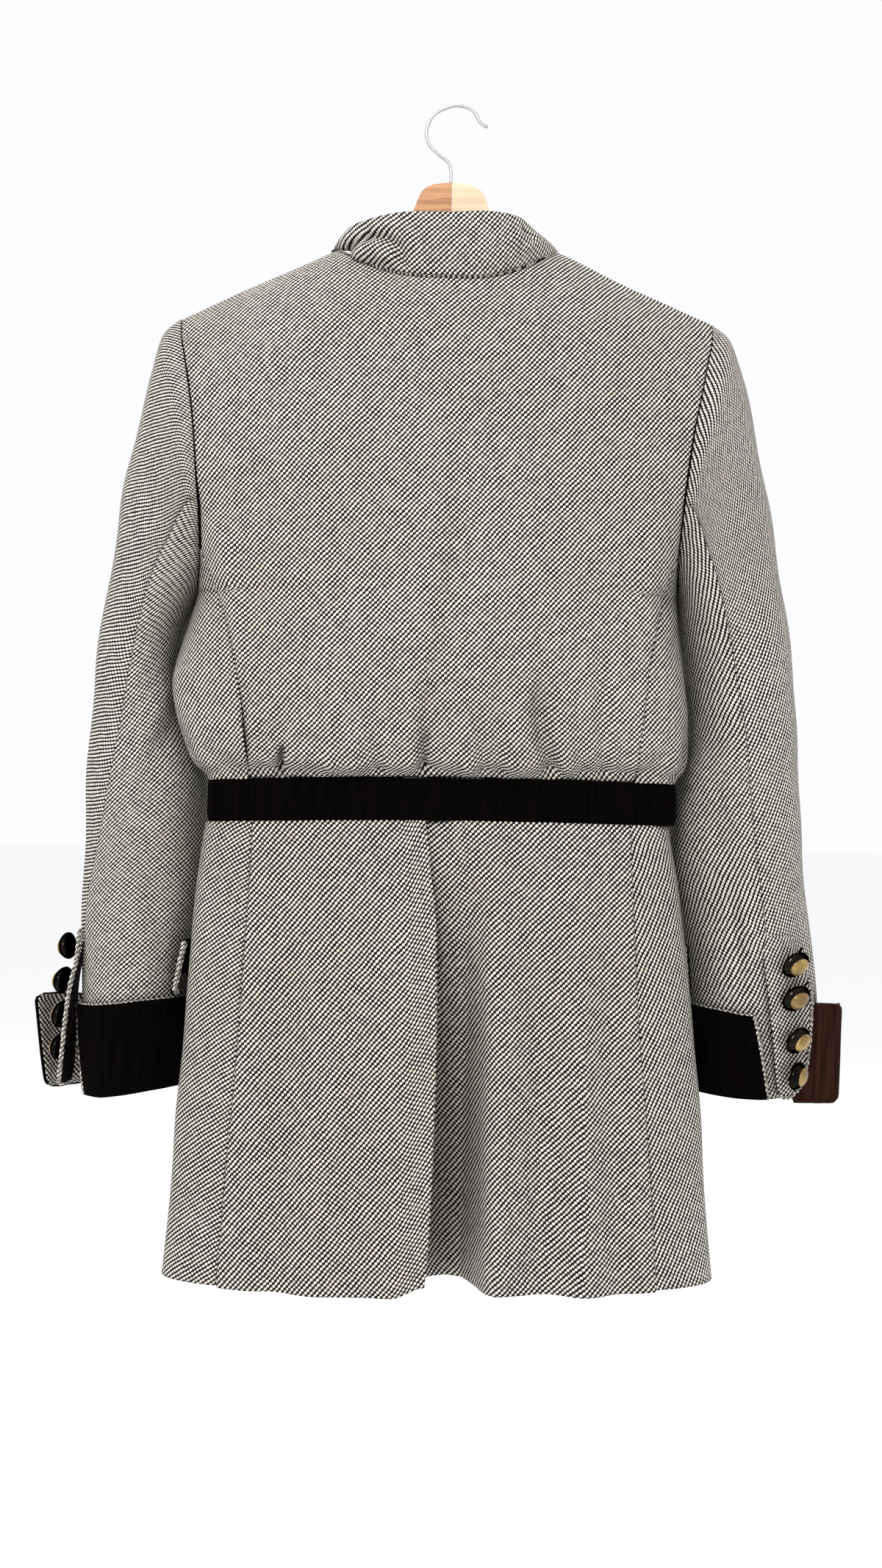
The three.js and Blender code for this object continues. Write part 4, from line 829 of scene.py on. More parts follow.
# bodice
bodice = {
    "back": {"columns": 216, "rows": 176, "grain": 47},
    "side": {"columns": 44, "rows": 60, "grain": {"left": 50, "right": 44}},
    "front": {"columns": 60, "rows": 84, "grain": 45},
    "seam": (0.35, 1.5),
    "shoulderRows": 0.25, "shoulderTurn": 72, "crowding": 0.9, "tuckHeight": 10, "tuckDepth": 1.5,
}
# folds of the back, as (height, across) paths: depth is inward
backFolds = [
    fold(8, 5.5, (0, 90), (-533, -15), (-517, -14), (-470, -8), (-409, 3), (-349, 8.5), (-300, 8), skew=1.6),
    fold(2.6, 5, (0, 14), (-533, -14.5), (-524, -14), (-497, -13)),
    fold(2.4, 8, (0, 10), (-533, -126), (-513, -124)),
    fold(7, 4, (0, 26), (-533, -127), (-500, -125), (-480, -123)),
    fold(11, 4, (10, 12), (-514, -100), (-500, -98)),
    fold(7, -4.5, (10, 60), (-533, -83), (-520, -84), (-466, -90), (-440, -92)),
    fold(6, 3, (0, 50), (-533, -155), (-470, -153), (-440, -158)),
    fold(5, 3.5, (0, 30), (-533, -141), (-490, -139)),
    fold(5, 4, (0, 24), (-533, -48), (-496, -54)),
    fold(6, -3, (0, 24), (-533, -66), (-505, -68)),
    fold(6, -3, (0, 50), (-533, -23), (-456, -22.6)),
    fold(6, -3, (0, 26), (-533, 22), (-500, 20)),
    fold(5, 4, (0, 24), (-533, 33), (-514, 31), (-480, 25)),
    fold(5, 3.6, (0, 30), (-533, 45), (-500, 42), (-478, 38)),
    fold(8, -3, (0, 40), (-533, 62), (-470, 60)),
    fold(6, 8, (0, 30), (-533, 84), (-524, 82.5), (-500, 76), (-480, 73), (-462, 73), skew=1.5),
    fold(8, -4, (0, 40), (-533, 97), (-490, 90), (-462, 88)),
    fold(7, 4.5, (0, 50), (-533, 125), (-470, 122), (-450, 121)),
    fold(6, 2.5, (0, 26), (-533, 108), (-500, 108)),
    fold(6, 3, (0, 30), (-533, 141), (-505, 140)),
    fold(9, -3.5, (40, 30), (-470, -155), (-430, -157), (-396, -161), (-366, -168), (-337, -178)),
    fold(12, -2.5, (40, 40), (-440, 150), (-380, 156), (-320, 168)),
    fold(26, 1.6, (50, 40), (-330, -60), (-250, -40), (-190, -55)),
    fold(30, 1.6, (60, 60), (-400, 60), (-300, 66), (-210, 90)),
]


def seamEdges(*names):
    return {name: bodice["seam"] for name in names}


def rowZ(v, bottom, top):
    # a quarter of the rows gather at the rounding of the shoulder
    share, turn = bodice["shoulderRows"], math.radians(bodice["shoulderTurn"])
    drop = shoulder["round"] * (1 - math.cos(turn))
    near = shoulder["round"] * (1 - np.cos(turn * clamp((1 - v) / share, 0, 1)))
    return np.where(v > 1 - share, top - near, mix(bottom, top - drop, v / (1 - share)))


def topOfColumn(share, face):
    x = share * shoulder["tipX"]
    neckLine = backNeckLine(x) if face < 0 else frontNeckLine(x)
    return np.where(x >= neck["halfWidth"], shoulderLine(x), neckLine)


def backSurface(u, v):
    across = u * 2 - 1
    share = np.abs(across) ** bodice["crowding"]
    seam = np.where(across < 0, bodiceSeamX(waist["topZ"], "left", -1), bodiceSeamX(waist["topZ"], "right", -1))
    z = rowZ(v, bandTop(share * seam), topOfColumn(share, -1))
    edge = np.where(across < 0, bodiceEdgeX(z, "left", -1), bodiceEdgeX(z, "right", -1))
    x = np.sign(across) * share * edge
    return x, bodyY(x, z, -1), z


def backRelief(points, u, v):
    x, z = points[..., 0], points[..., 2]
    small = wander(x, z, 3, 34, 0.35) * ramp(z, -420, -533) + wander(x, z, 4, 90, 0.5)
    tuck = ramp(z, waist["topZ"] + bodice["tuckHeight"], waist["topZ"] - 1) * bodice["tuckDepth"]
    return foldField(backFolds, z, x) * ramp(v, 0, 0.012) + small + tuck


def frontSurface(side):
    def surface(u, v):
        share = u if side == "left" else 1 - u
        along = mix(-closure["overlap"] / shoulder["tipX"], 1, share)
        bottom = bandTop(along * bodiceSeamX(waist["topZ"], side, 1))
        z = rowZ(v, bottom, topOfColumn(np.abs(along), 1))
        x = signOf[side] * along * bodiceEdgeX(z, side, 1)
        return x, bodyY(x, z, 1) - lapInward(side, x), z
    return surface


# the fronts gather into the band too, a little less
frontFolds = [
    fold(6, 3, (0, 30), (-533, 40), (-480, 44)),
    fold(8, 4, (0, 60), (-533, 66), (-450, 72)),
    fold(6, 3, (0, 30), (-533, 95), (-490, 97)),
    fold(20, -3, (50, 50), (-470, 60), (-380, 84), (-320, 110)),
]


def frontRelief(points, u, v):
    x, z = np.abs(points[..., 0]), points[..., 2]
    return foldField(frontFolds, z, x) + wander(points[..., 0], z, 8, 70, 0.5)


def sideSurface(side):
    startAngle = math.degrees(math.acos((armhole["seamZ"] - armholeMiddle) / armholeHalf))

    def surface(u, v):
        w = 1 - u if side == "left" else u
        topX, topY, topZ = armholePoint(mix(startAngle, 360 - startAngle, w), side)

        def seams(z):
            return bodiceSeamX(z, side, -1), bodiceSeamX(z, side, 1)

        footZ = waist["topZ"] - waist["endDrop"] + 0 * w
        footX, _ = sidePoint(w, footZ, side, *seams(waist["topZ"] + 0 * w))
        z = mix(bandTop(footX), topZ, v)
        x, y = sidePoint(w, z, side, *seams(z))
        reachedX, reachedY = sidePoint(w, topZ, side, *seams(topZ))
        return x + (topX - reachedX) * v**3, y + (topY - reachedY) * v**3, z
    return surface


def sideRelief(points, u, v):
    y, z = points[..., 1], points[..., 2]
    folds = [
        fold(6, 4, (0, 26), (-533, 12), (-495, 8)),
        fold(6, 4, (0, 26), (-533, -22), (-500, -26)),
        fold(5, 3, (0, 24), (-533, -40), (-505, -44)),
    ]
    return foldField(folds, z, y) + wander(y, z, 12, 50, 0.5)


def alongBody(face):
    return lambda points, u, v: -face * sectionLength(points[..., 0], points[..., 2], face)


def upBody(face):
    return lambda points, u, v: riseLength(points[..., 0], points[..., 2], face)


def alongSide(side, steps=16):
    # the weave runs on round the body from the back seam
    def across(points, u, v):
        w, z = 1 - u if side == "left" else u, points[..., 2]
        seams = bodiceSeamX(z, side, -1), bodiceSeamX(z, side, 1)
        total, last = 0 * z, sidePoint(0 * w, z, side, *seams)
        for step in range(1, steps + 1):
            place = sidePoint(w * step / steps, z, side, *seams)
            total = total + np.hypot(place[0] - last[0], place[1] - last[1])
            last = place
        return sectionLength(signOf[side] * seams[0], z, -1) + signOf[side] * total
    return across


def upSide(side):
    return lambda points, u, v: riseLength(bodiceSeamX(points[..., 2], side, -1), points[..., 2], -1)


clothShell("back", backSurface, {**bodice["back"], "folds": backRelief, "across": alongBody(-1), "up": upBody(-1),
           "edges": {**seamEdges("left", "right", "top"), "bottom": (0.6, 1.5)}}, tweed, "tweed", "back")
for side in bothSides:
    spec = {**bodice["front"], "folds": frontRelief, "across": alongBody(1), "up": upBody(1),
            "edges": seamEdges("right" if side == "left" else "left", "top")}
    clothShell("front_" + side, frontSurface(side), spec, tweed, "tweed", "front_" + side)
    spec = {**bodice["side"], "grain": bodice["side"]["grain"][side], "folds": sideRelief,
            "across": alongSide(side), "up": upSide(side), "edges": seamEdges("left", "right", "top")}
    clothShell("side_" + side, sideSurface(side), spec, tweed, "tweed", "side_" + side)
print("bodice sewn")


# waistband
band = {"columns": 120, "rows": 14, "grain": 0, "sideColumns": 90}


def bandY(x, face):
    share = np.minimum(np.abs(x) / waist["halfWidth"], 1)
    deep = np.where(face < 0, waist["backY"], waist["frontY"]) + face * cloth["lift"] - waist["sideY"]
    return waist["sideY"] + deep * (1 - share**sectionPower) ** (1 / sectionPower)


def bandBackSurface(u, v):
    x = mix(-waist["seamX"], waist["seamX"], u)
    return x, bandY(x, -1), mix(bandBottom(x), bandTop(x), v)


def bandSideSurface(side):
    start = math.asin((waist["seamX"] / waist["halfWidth"]) ** (sectionPower / 2))
    end = math.pi + (0.05 if side == "right" else 0)

    def surface(u, v):
        w = 1 - u if side == "left" else u
        angle = mix(start, end, w)
        turn = np.sin(angle)
        x = signOf[side] * np.sign(turn) * waist["halfWidth"] * np.abs(turn) ** (2 / sectionPower)
        y = bandY(x, np.where(np.cos(angle) >= 0, -1, 1)) - lapInward(side, x) * ramp(w, 0.3, 0.5)
        return x, y, mix(bandBottom(x), bandTop(x), v)
    return surface


def bandRelief(points, u, v):
    x, z = points[..., 0], points[..., 2]
    roll = 1.3 * (bell(v, 0.09) + bell(1 - v, 0.09))
    return roll + wander(x, z, 21, 40, 0.35)


clothShell("waistband_back", bandBackSurface, {**band, "folds": bandRelief, "edges": seamEdges("left", "right")},
           velvet, "velvet", "waistband_back")
for side in bothSides:
    spec = {**band, "columns": band["sideColumns"], "folds": bandRelief,
            "edges": seamEdges("right" if side == "left" else "left")}
    clothShell("waistband_" + side, bandSideSurface(side), spec, velvet, "velvet", "waistband_" + side)
print("waistband on")


# skirt
skirtParts = {
    "backLeft": {"columns": 96, "rows": 110, "grain": 50},
    "backRight": {"columns": 150, "rows": 110, "grain": 44},
    "side": {"columns": 50, "rows": 84, "grain": {"left": 35, "right": 57}},
    "front": {"columns": 46, "rows": 84, "grain": 45},
    "crowding": 1.6, "crowded": 0.6, "behindLap": (16, -2), "behindTilt": 0.3, "calmUnderLap": (20, 50),
    "foldsAtBand": 0.15, "foldsGrow": (-575, -760),
}
# folds that hang down the skirt, as (height, across) paths
skirtPaths = {
    -1: [
        fold(15, 6, (0, 140), (-945, -126), (-800, -120), (-650, -112), (-566, -112)),
        fold(14, -2.5, (0, 120), (-945, -95), (-760, -92), (-600, -88)),
        fold(18, 2.6, (0, 160), (-945, -58), (-760, -56), (-600, -60)),
        fold(15, -5, (0, 160), (-945, 116), (-800, 110), (-650, 100), (-566, 96)),
        fold(12, 3.5, (0, 160), (-945, 140), (-800, 134), (-640, 126)),
        fold(14, 3.5, (0, 120), (-945, 80), (-800, 78), (-640, 72), (-566, 70)),
    ],
    1: [
        fold(18, 3, (0, 140), (-945, -104), (-700, -96)),
        fold(18, 3, (0, 140), (-945, 100), (-700, 92)),
    ],
}


def hemZ(x, edge):
    corner = skirt["cornerLift"] * ramp(np.abs(x - edge), skirt["cornerWidth"], 0)
    return mix(skirt["hemZ"], skirt["sideHemZ"], (x / skirt["hemHalfWidth"]) ** 2) + corner


def skirtBackLeft(u, v):
    top = bandBottom(mix(-skirtSeamX["backTop"], vent["topX"], u))
    z = mix(hemZ(mix(-skirtSeamX["backHem"], vent["hemX"], u), vent["hemX"]), top, v)
    x = mix(-look(skirtSeam, "z", z, "back"), look(ventEdge, "z", z, "x"), u)
    return x, bodyY(x, z, -1), z


def skirtBackRight(u, v):
    spread = mix(u, u ** skirtParts["crowding"], skirtParts["crowded"])
    top = bandBottom(mix(vent["underlapX"], skirtSeamX["backTop"], spread))
    hem = hemZ(mix(vent["underlapX"], skirtSeamX["backHem"], spread), vent["underlapX"])
    z = mix(hem + vent["underlapLift"] * (1 - spread), top, v)
    x = mix(vent["underlapX"], look(skirtSeam, "z", z, "back"), spread)
    trough = look(ventEdge, "z", z, "depth") * look(troughShape, "x", x, "share")
    behind = vent["lapClear"] * ramp(x, *skirtParts["behindLap"])
    return x, bodyY(x, z, -1) + np.maximum(trough, behind) + behind * skirtParts["behindTilt"], z


def skirtRelief(face, seed, calmed=False):
    def relief(points, u, v):
        x, z = points[..., 0], points[..., 2]
        calm = ramp(x, *skirtParts["calmUnderLap"]) if calmed else 1
        grown = mix(skirtParts["foldsAtBand"], 1, ramp(z, *skirtParts["foldsGrow"]))
        folds = foldField(skirtPaths[face], z, x) * grown * calm
        return folds + wander(x, z * 0.5, seed, 60, 0.45)
    return relief


def skirtSideSurface(side):
    def surface(u, v):
        w = 1 - u if side == "left" else u
        headX, _ = sidePoint(w, waist["topZ"] - waist["height"] + 0 * w, side, skirtSeamX["backTop"],
                             skirtSeamX["frontTop"])
        z = mix(skirt["sideHemZ"], bandBottom(headX), v)
        x, y = sidePoint(w, z, side, look(skirtSeam, "z", z, "back"), look(skirtSeam, "z", z, "front"))
        return x, y, z
    return surface


def skirtFrontSurface(side):
    def surface(u, v):
        w = 1 - u if side == "left" else u
        hem = hemZ(mix(skirtSeamX["frontHem"], -closure["overlap"], w), -closure["overlap"])
        z = mix(hem, bandBottom(mix(skirtSeamX["frontTop"], 0, w)), v)
        x = signOf[side] * mix(look(skirtSeam, "z", z, "front"), -closure["overlap"], w)
        return x, bodyY(x, z, 1) - lapInward(side, x), z
    return surface


def skirtSideRelief(points, u, v):
    return wander(points[..., 1], points[..., 2] * 0.5, 35, 60, 0.5)


clothShell("skirt_back_left", skirtBackLeft, {**skirtParts["backLeft"], "folds": skirtRelief(-1, 31),
           "across": alongBody(-1), "edges": seamEdges("left")}, skirtTweed, "tweed", "skirt_back_left")
clothShell("skirt_back_right", skirtBackRight, {**skirtParts["backRight"], "folds": skirtRelief(-1, 32, calmed=True),
           "straightAt": 1, "edges": seamEdges("right")}, skirtTweed, "tweed", "skirt_back_right")
for side in bothSides:
    spec = {**skirtParts["side"], "grain": skirtParts["side"]["grain"][side], "folds": skirtSideRelief,
            "edges": seamEdges("left", "right")}
    clothShell("skirt_side_" + side, skirtSideSurface(side), spec, skirtTweed, "tweed", "skirt_side_" + side)
    spec = {**skirtParts["front"], "folds": skirtRelief(1, 36), "edges": seamEdges(side)}
    clothShell("skirt_front_" + side, skirtFrontSurface(side), spec, skirtTweed, "tweed", "skirt_front_" + side)
print("skirt on")


# pocket flaps
flap = {
    "columns": 70, "rows": 24, "grain": 40,
    "topZ": -664, "bottomZ": -707, "frontLift": 4, "frontTopX": 90, "frontBottomX": 60,
    "clear": {"left": -1.6, "right": -0.35},
    "rear": {"left": 0.36, "right": 0.42},
    "standOff": {"left": 10.5, "right": 0.6},
    "bulge": {"left": 6, "right": 0},
    "cord": {"left": 2.4, "right": 1.2},
    "front": 0.99, "standPower": 4, "standTop": 0.45, "bulgeAt": 0.84, "bulgeWidth": 0.1, "bulgeTop": 0.4,
}


def flapPoint(side, w, v, off=0):
    rear = 1 - w
    z = mix(flap["bottomZ"], flap["topZ"], v) + flap["frontLift"] * w * (1 - v)
    fromBack = mix(flap["rear"][side], flap["front"], w)
    seams = (look(skirtSeam, "z", z, "back"), mix(flap["frontBottomX"], flap["frontTopX"], v))
    x, y = sidePoint(fromBack, z, side, *seams)
    aheadX, aheadY = sidePoint(fromBack + 0.01, z, side, *seams)
    alongX, alongY = aheadX - x, aheadY - y
    size = np.hypot(alongX, alongY)
    outX, outY = alongY / size, -alongX / size
    flip = np.where(outX * x + outY * y * 4 < 0, -1, 1)
    standOff = flap["standOff"][side] * rear ** flap["standPower"] * mix(1, flap["standTop"], v)
    lift = cloth["wall"] + flap["clear"][side] + standOff + off
    lift = lift + flap["bulge"][side] * bell(rear - flap["bulgeAt"], flap["bulgeWidth"]) * mix(1, flap["bulgeTop"], v)
    return x + outX * flip * lift, y + outY * flip * lift, z


def flapSurface(side):
    return lambda u, v: flapPoint(side, u if side == "left" else 1 - u, v)


for side in bothSides:
    clothShell("pocket_flap_" + side, flapSurface(side), {**flap, "edges": {"top": (0.8, 2)}}, velvet, "velvet",
               "pocket_flap_" + side)
print("flaps on")


# sleeves
sleeveParts = {"top": {"columns": 84, "rows": 150}, "under": {"columns": 60, "rows": 150},
               "grain": {"left": {"top": 14, "under": 45}, "right": {"top": 62, "under": 60}}}


def sleeveSurface(side, start, end):
    def surface(u, v):
        ring = mix(lastRing, 0, v)
        w = u if side == "left" else 1 - u
        angle = mix(start(ring), end(ring), w)
        x, y, z = sleevePoint(side, ring, angle)
        # the hem drops behind the vent, and the wrist stands out towards the cuff's open end
        atVent = bell(angle - sleeve["ventAngle"][side], sleeve["ventWidth"])
        z = z - sleeve["ventDrop"] * ramp(ring, lastRing - sleeve["ventRings"], lastRing) * atVent
        atWrist = ramp(z, sleeve["wristFrom"], sleeve["wristTo"])
        x = x + sleeve["wristOut"][side] * atWrist * bell(angle - sleeve["wristAngle"], sleeve["wristWidth"])
        x = x + signOf[side] * sleeve["gap"] * (1 - ramp(ring, 0, sleeve["gapRings"]))
        return x, y, z
    return surface


# creases on the back of each sleeve
sleeveCreases = {
    "left": [
        crease(9, -3, 0.35, (-212, -446), (-220, -468), (-229, -490), (-240, -515)),
        crease(8, 2.4, 0.3, (-206, -470), (-214, -492), (-226, -520), (-236, -560)),
        crease(20, 1.6, 0.3, (-262, -300), (-250, -380), (-246, -460)),
        crease(12, 1.8, 0.3, (-232, -560), (-228, -630), (-224, -700)),
    ],
    "right": [
        crease(4.5, 3.2, 0.3, (231, -610), (232, -638), (237, -669), (242, -700), (245, -720)),
        crease(7, -1.8, 0.3, (240, -610), (243, -650), (250, -700)),
        crease(10, 2.2, 0.3, (206, -500), (214, -530), (222, -580), (226, -620)),
        crease(18, 1.4, 0.3, (252, -260), (240, -340), (236, -420)),
        crease(12, -1.6, 0.3, (222, -420), (226, -480), (236, -540)),
    ],
}


def sleeveRelief(side, seed):
    def relief(points, u, v):
        x, y, z = points[..., 0], points[..., 1], points[..., 2]
        creases = creaseField(sleeveCreases[side], x, z) * ramp(y, 24, 6)
        return creases + wander(y - x * signOf[side], z * 0.8, seed, 70, 0.7)
    return relief


for side in bothSides:
    angles = {"front": lambda ring, side=side: seamAngle(side, ring, "front") - 360,
              "back": lambda ring, side=side: seamAngle(side, ring, "back"),
              "frontUnder": lambda ring, side=side: seamAngle(side, ring, "front")}
    for part, start, end in (("top", "front", "back"), ("under", "back", "frontUnder")):
        name = part + "_sleeve_" + side
        spec = {**sleeveParts[part], "grain": sleeveParts["grain"][side][part],
                "folds": sleeveRelief(side, 41 if side == "left" else 42),
                "edges": seamEdges("left", "right", "top")}
        clothShell(name, sleeveSurface(side, angles[start], angles[end]), spec, tweed, "tweed", name)
print("sleeves set in")


# vent tongues and turned-back cuffs
tongue = {"topZ": -655, "bottomZ": -783, "columns": 26, "rows": 64, "grain": {"left": 20, "right": 55},
          "wall": 2, "thin": 1.6, "thinFrom": 0.74, "sink": 4, "insetRise": 30, "facingInset": 0.03}
layerGap = 0.05  # half the air between two layers of one cuff or tongue
cuff = {"columns": 150, "rows": 26, "grain": 0, "wall": 2.2, "topZ": -709, "bottomZ": -781,
        "seat": {"bottom": 2.46, "top": 1.2}, "looseFrom": 4, "looseBy": 4, "slant": {"left": -20, "right": 18},
        "corner": 7, "placeSize": 11, "paintedSheenFrom": (0.42, 0.3), "facingGrain": 52, "facingInset": 1.3}


def tongueSurface(side, inside=0, inset=0):
    def surface(u, v):
        w = mix(inset, 1 - inset, 1 - u if side == "left" else u)
        z = mix(tongue["bottomZ"] + inset * tongue["insetRise"], tongue["topZ"], v**1.2)
        x, y, _ = tonguePoint(side, w, z)
        aheadX, aheadY, _ = tonguePoint(side, w + 0.01, z)
        size = np.hypot(aheadX - x, aheadY - y) * signOf[side]
        return x - (aheadY - y) / size * inside, y + (aheadX - x) / size * inside, z
    return surface


def tongueThinning(u, v):
    # the top end thins away into the sleeve
    return ramp(v, tongue["thinFrom"], 1)


def cuffRelief(points, u, v):
    return wander(points[..., 0] + points[..., 1], points[..., 2] * 0.3, 61, 34, 0.5)


def cuffPoint(side, place, v, off=0):
    # place runs down the rows of the plan; off is measured outward from the sleeve
    plan = cuffPlan[side]
    slant = cuff["slant"][side] * (v - 0.5) * ramp(place, 2, 0)
    angle = look(plan, "place", place, "angle") + slant
    reach = look(plan, "place", place, "off") + look(plan, "place", place, "lean") * (v - 0.5)
    close = ramp(reach, cuff["looseFrom"] + cuff["looseBy"], cuff["looseFrom"])
    ring = lastRing - mix(0.5, v, close)
    reach = reach - close * mix(cuff["seat"]["bottom"], cuff["seat"]["top"], v)
    x, y, _ = sleevePoint(side, ring, angle, reach + off)
    bottomZ = cuff["bottomZ"] - look(plan, "place", place, "bottomDrop")
    return x, y, mix(bottomZ, cuff["topZ"] - look(plan, "place", place, "topDrop"), v)


def cuffSurface(side, off, inset=0):
    plan, high = cuffPlan[side], cuff["topZ"] - cuff["bottomZ"]

    def surface(u, v):
        share = mix(inset / high, 1 - inset / high, v)
        # the free corners are rounded
        corner = clamp(1 - np.minimum(share, 1 - share) * high / cuff["corner"], 0, 1)
        cut = cuff["corner"] * (1 - np.sqrt(1 - corner**2)) + inset
        far = plan["place"][-1] - (cut / cuff["placeSize"] if side == "left" else 0)
        place = (1 - u if side == "right" else u) * far
        x, y, z = cuffPoint(side, place, share, off)
        swell = ramp(look(plan, "place", place, "off"), 10, 30)
        return x - signOf[side] * cut * 0.4 * swell * (side == "right"), y, z
    return surface


for plan in cuffPlan.values():
    plan["place"] = np.arange(len(plan["off"]), dtype=float)
for side in bothSides:
    spec = {**tongue, "grain": tongue["grain"][side],
            "folds": lambda points, u, v: tongue["sink"] * tongueThinning(u, v),
            "wall": lambda u, v: tongue["wall"] - tongue["thin"] * tongueThinning(u, v)}
    if side == "left":
        # seen from the vent, its inner face is dark: a thin velvet sheet lies just inside the tweed
        spec["wall"] = tongue["wall"] / 2 - layerGap
        inside = tongueSurface(side, tongue["wall"] / 2 + layerGap, tongue["facingInset"])
        clothShell("tongue_dark_inside_left", inside, spec, velvet, "velvet")
    clothShell("vent_tongue_" + side, tongueSurface(side), spec, tweed, "tweed", "vent_tongue_" + side)
    # velvet outside, tweed inside, each half as thick as the cuff
    layer = {**cuff, "wall": cuff["wall"] / 2 - layerGap, "folds": cuffRelief}
    # painted sheen: the right cuff's outer velvet turns lighter towards the flare at its open end
    outer = {**layer, "paintedSheen": lambda u, v: ramp(u, *cuff["paintedSheenFrom"])} if side == "right" else layer
    clothShell("cuff_" + side, cuffSurface(side, cuff["wall"]), outer, velvet, "velvet", "cuff_" + side)
    facing = cuffSurface(side, cuff["wall"] / 2, cuff["facingInset"])
    clothShell("cuff_facing_" + side, facing, {**layer, "grain": cuff["facingGrain"]}, tweed, "tweed")
print("cuffs turned back")


# corded piping
piping = {"radius": 1.5, "thick": 1.8, "thin": 0.55, "pitch": 6, "lobes": 0.17, "step": 0.9, "grain": 38,
          "sides": 12, "tongueFoot": -783.5, "tongueTop": {"right": -700, "left": -657},
          "cuffShown": {"right": 11, "left": 9}, "cuffTop": 1.008, "cuffOff": 0.75, "flapOff": -0.9}


def cord(name, path, radius, material=None, slot="tweed"):
    # even steps along the path, so that the twist is regular
    path = np.array([[float(value) for value in point] for point in path])
    length = runLength(path)
    places = np.linspace(0, length[-1], max(int(length[-1] / piping["step"]), 8))
    even = np.stack([np.interp(places, length, path[:, i]) for i in range(3)], axis=1)
    tube(name, even, radius, material or pipingTweed, slot, sides=piping["sides"], twist=piping["pitch"],
         lobes=piping["lobes"], grain=piping["grain"])


def turnedPath(first, corner, last, point, reach=0.12):
    # down one edge, round a corner and along the next, with the corner eased
    a, b, c = (np.array(place, float) for place in (first, corner, last))
    t = np.linspace(0, 1, 40)[:, None]
    down = mix(a, mix(a, b, 1 - reach), t)
    turn = mix(mix(mix(a, b, 1 - reach), b, t), mix(b, mix(b, c, reach * 2), t), t)
    along = mix(mix(b, c, reach * 2), c, t)
    return [point(w, z) for w, z in np.concatenate((down, turn, along))]


for side, down, far in (("right", (1.0, 0.98), 0.02), ("left", (0, 0.02), 0.95)):
    foot = piping["tongueFoot"]
    edge = turnedPath((down[0], piping["tongueTop"][side]), (down[1], foot), (far, foot),
                      lambda w, z, side=side: tonguePoint(side, w, z))
    cord("tongue_piping_" + side, edge, piping["thick" if side == "left" else "radius"])
for side in ("right", "left"):
    end = [cuffPoint(side, 0, v, cuff["wall"] / 2) for v in np.linspace(1, 0, 40)]
    cord("cuff_end_piping_" + side, end, piping["thick" if side == "left" else "radius"])
    top = [cuffPoint(side, place, piping["cuffTop"], cuff["wall"] * piping["cuffOff"])
           for place in np.linspace(0, piping["cuffShown"][side], 90)]
    cord("cuff_top_piping_" + side, top, piping["thin"])
    edge = turnedPath((0, 1), (0, 0), (0.9, 0), lambda w, v, side=side: flapPoint(side, w, v, piping["flapOff"]))
    cord("flap_piping_" + side, edge, flap["cord"][side])
print("piping on")


# collar
collarParts = {"columns": 200, "rows": 40, "grain": 44, "endAngle": 176, "frontLift": 1.5, "bow": 3,
               "halfWidth": 90, "halfDepth": 55}


def collarSurface(u, v):
    angle = mix(-collarParts["endAngle"], collarParts["endAngle"], u)
    face = np.where(np.abs(angle) <= 90, -1, 1)
    baseX = neck["halfWidth"] * np.sin(np.radians(angle))
    baseZ = np.where(face < 0, backNeckLine(baseX), frontNeckLine(baseX))
    baseY = np.where(face < 0, bodyY(baseX, baseZ, -1), bodyY(baseX, baseZ, 1))
    baseZ = baseZ + mix(cloth["lift"], collarParts["frontLift"], ramp(np.abs(angle), 90, 120))
    top = {name: look(collarTop, "angle", angle, name) for name in ("x", "y", "z")}
    x, y, z = mix(baseX, top["x"], v), mix(baseY, top["y"], v), mix(baseZ, top["z"], v)
    outX, outY = x / collarParts["halfWidth"], y / collarParts["halfDepth"]
    size = np.hypot(outX, outY)
    bow = collarParts["bow"] * np.sin(math.pi * v)
    return x + outX / size * bow, y + outY / size * bow, z


# the left side buckles: the cloth swells under a curved crease, and the upper right edge has a dent
collarCreases = [
    crease(3.6, 5.4, 0.16, (-88, -130), (-79, -121), (-70, -117), (-57, -115), (-46, -118), (-38, -125),
           (-34, -134), (-32, -144)),
    crease(8, -5.5, 0.3, (-78, -132), (-66, -126), (-54, -126), (-46, -131), (-41, -142)),
    crease(6, -2, 0.3, (-66, -109), (-50, -107), (-34, -112), (-24, -128)),
    crease(3, 3.4, 0.3, (56, -105), (62, -108), (69, -115)),
    crease(5, -2.2, 0.3, (50, -114), (60, -118), (66, -125)),
    crease(12, 1.2, 0.3, (10, -104), (2, -128), (-8, -150)),
]


def collarRelief(points, u, v):
    x, y, z = points[..., 0], points[..., 1], points[..., 2]
    return creaseField(collarCreases, x, z) * ramp(y, 8, -6) + wander(x, z, 51, 40, 0.5)


clothShell("collar", collarSurface, {**collarParts, "folds": collarRelief, "edges": {"bottom": (0.5, 1.6)}}, tweed,
           "tweed", "collar")
print("collar on")


# buttons
button = {"halfLength": 12.5, "halfWidth": 10, "height": 7.5, "clear": 0.4, "around": 48, "slope": 0.55}
stone = {"halfLength": 8.5, "halfWidth": 6.5, "height": 4, "sunk": 0.6}
frontButtonZ = (-250, -355, -460)
seatProfile = [(0, 0), (0.86, 0), (1, 0.3), (0.8, 0.8), (0.45, 1), (0, 1)]
buttonProfile = [(0, 0), (0.6, 0), (0.84, 0.02), (0.95, 0.12), (1, 0.3), (0.985, 0.45), (0.93, 0.62), (0.86, 0.75),
                 (0.79, 0.86), (0.72, 0.95), (0.68, 1.0), (0.655, 1.0), (0.64, 0.97), (0.62, 0.9), (0.3, 0.9),
                 (0, 0.9)]
stoneProfile = [(0, 0), (0.9, 0), (1, 0.12), (0.97, 0.35), (0.85, 0.62), (0.6, 0.86), (0.3, 0.97), (0, 1)]


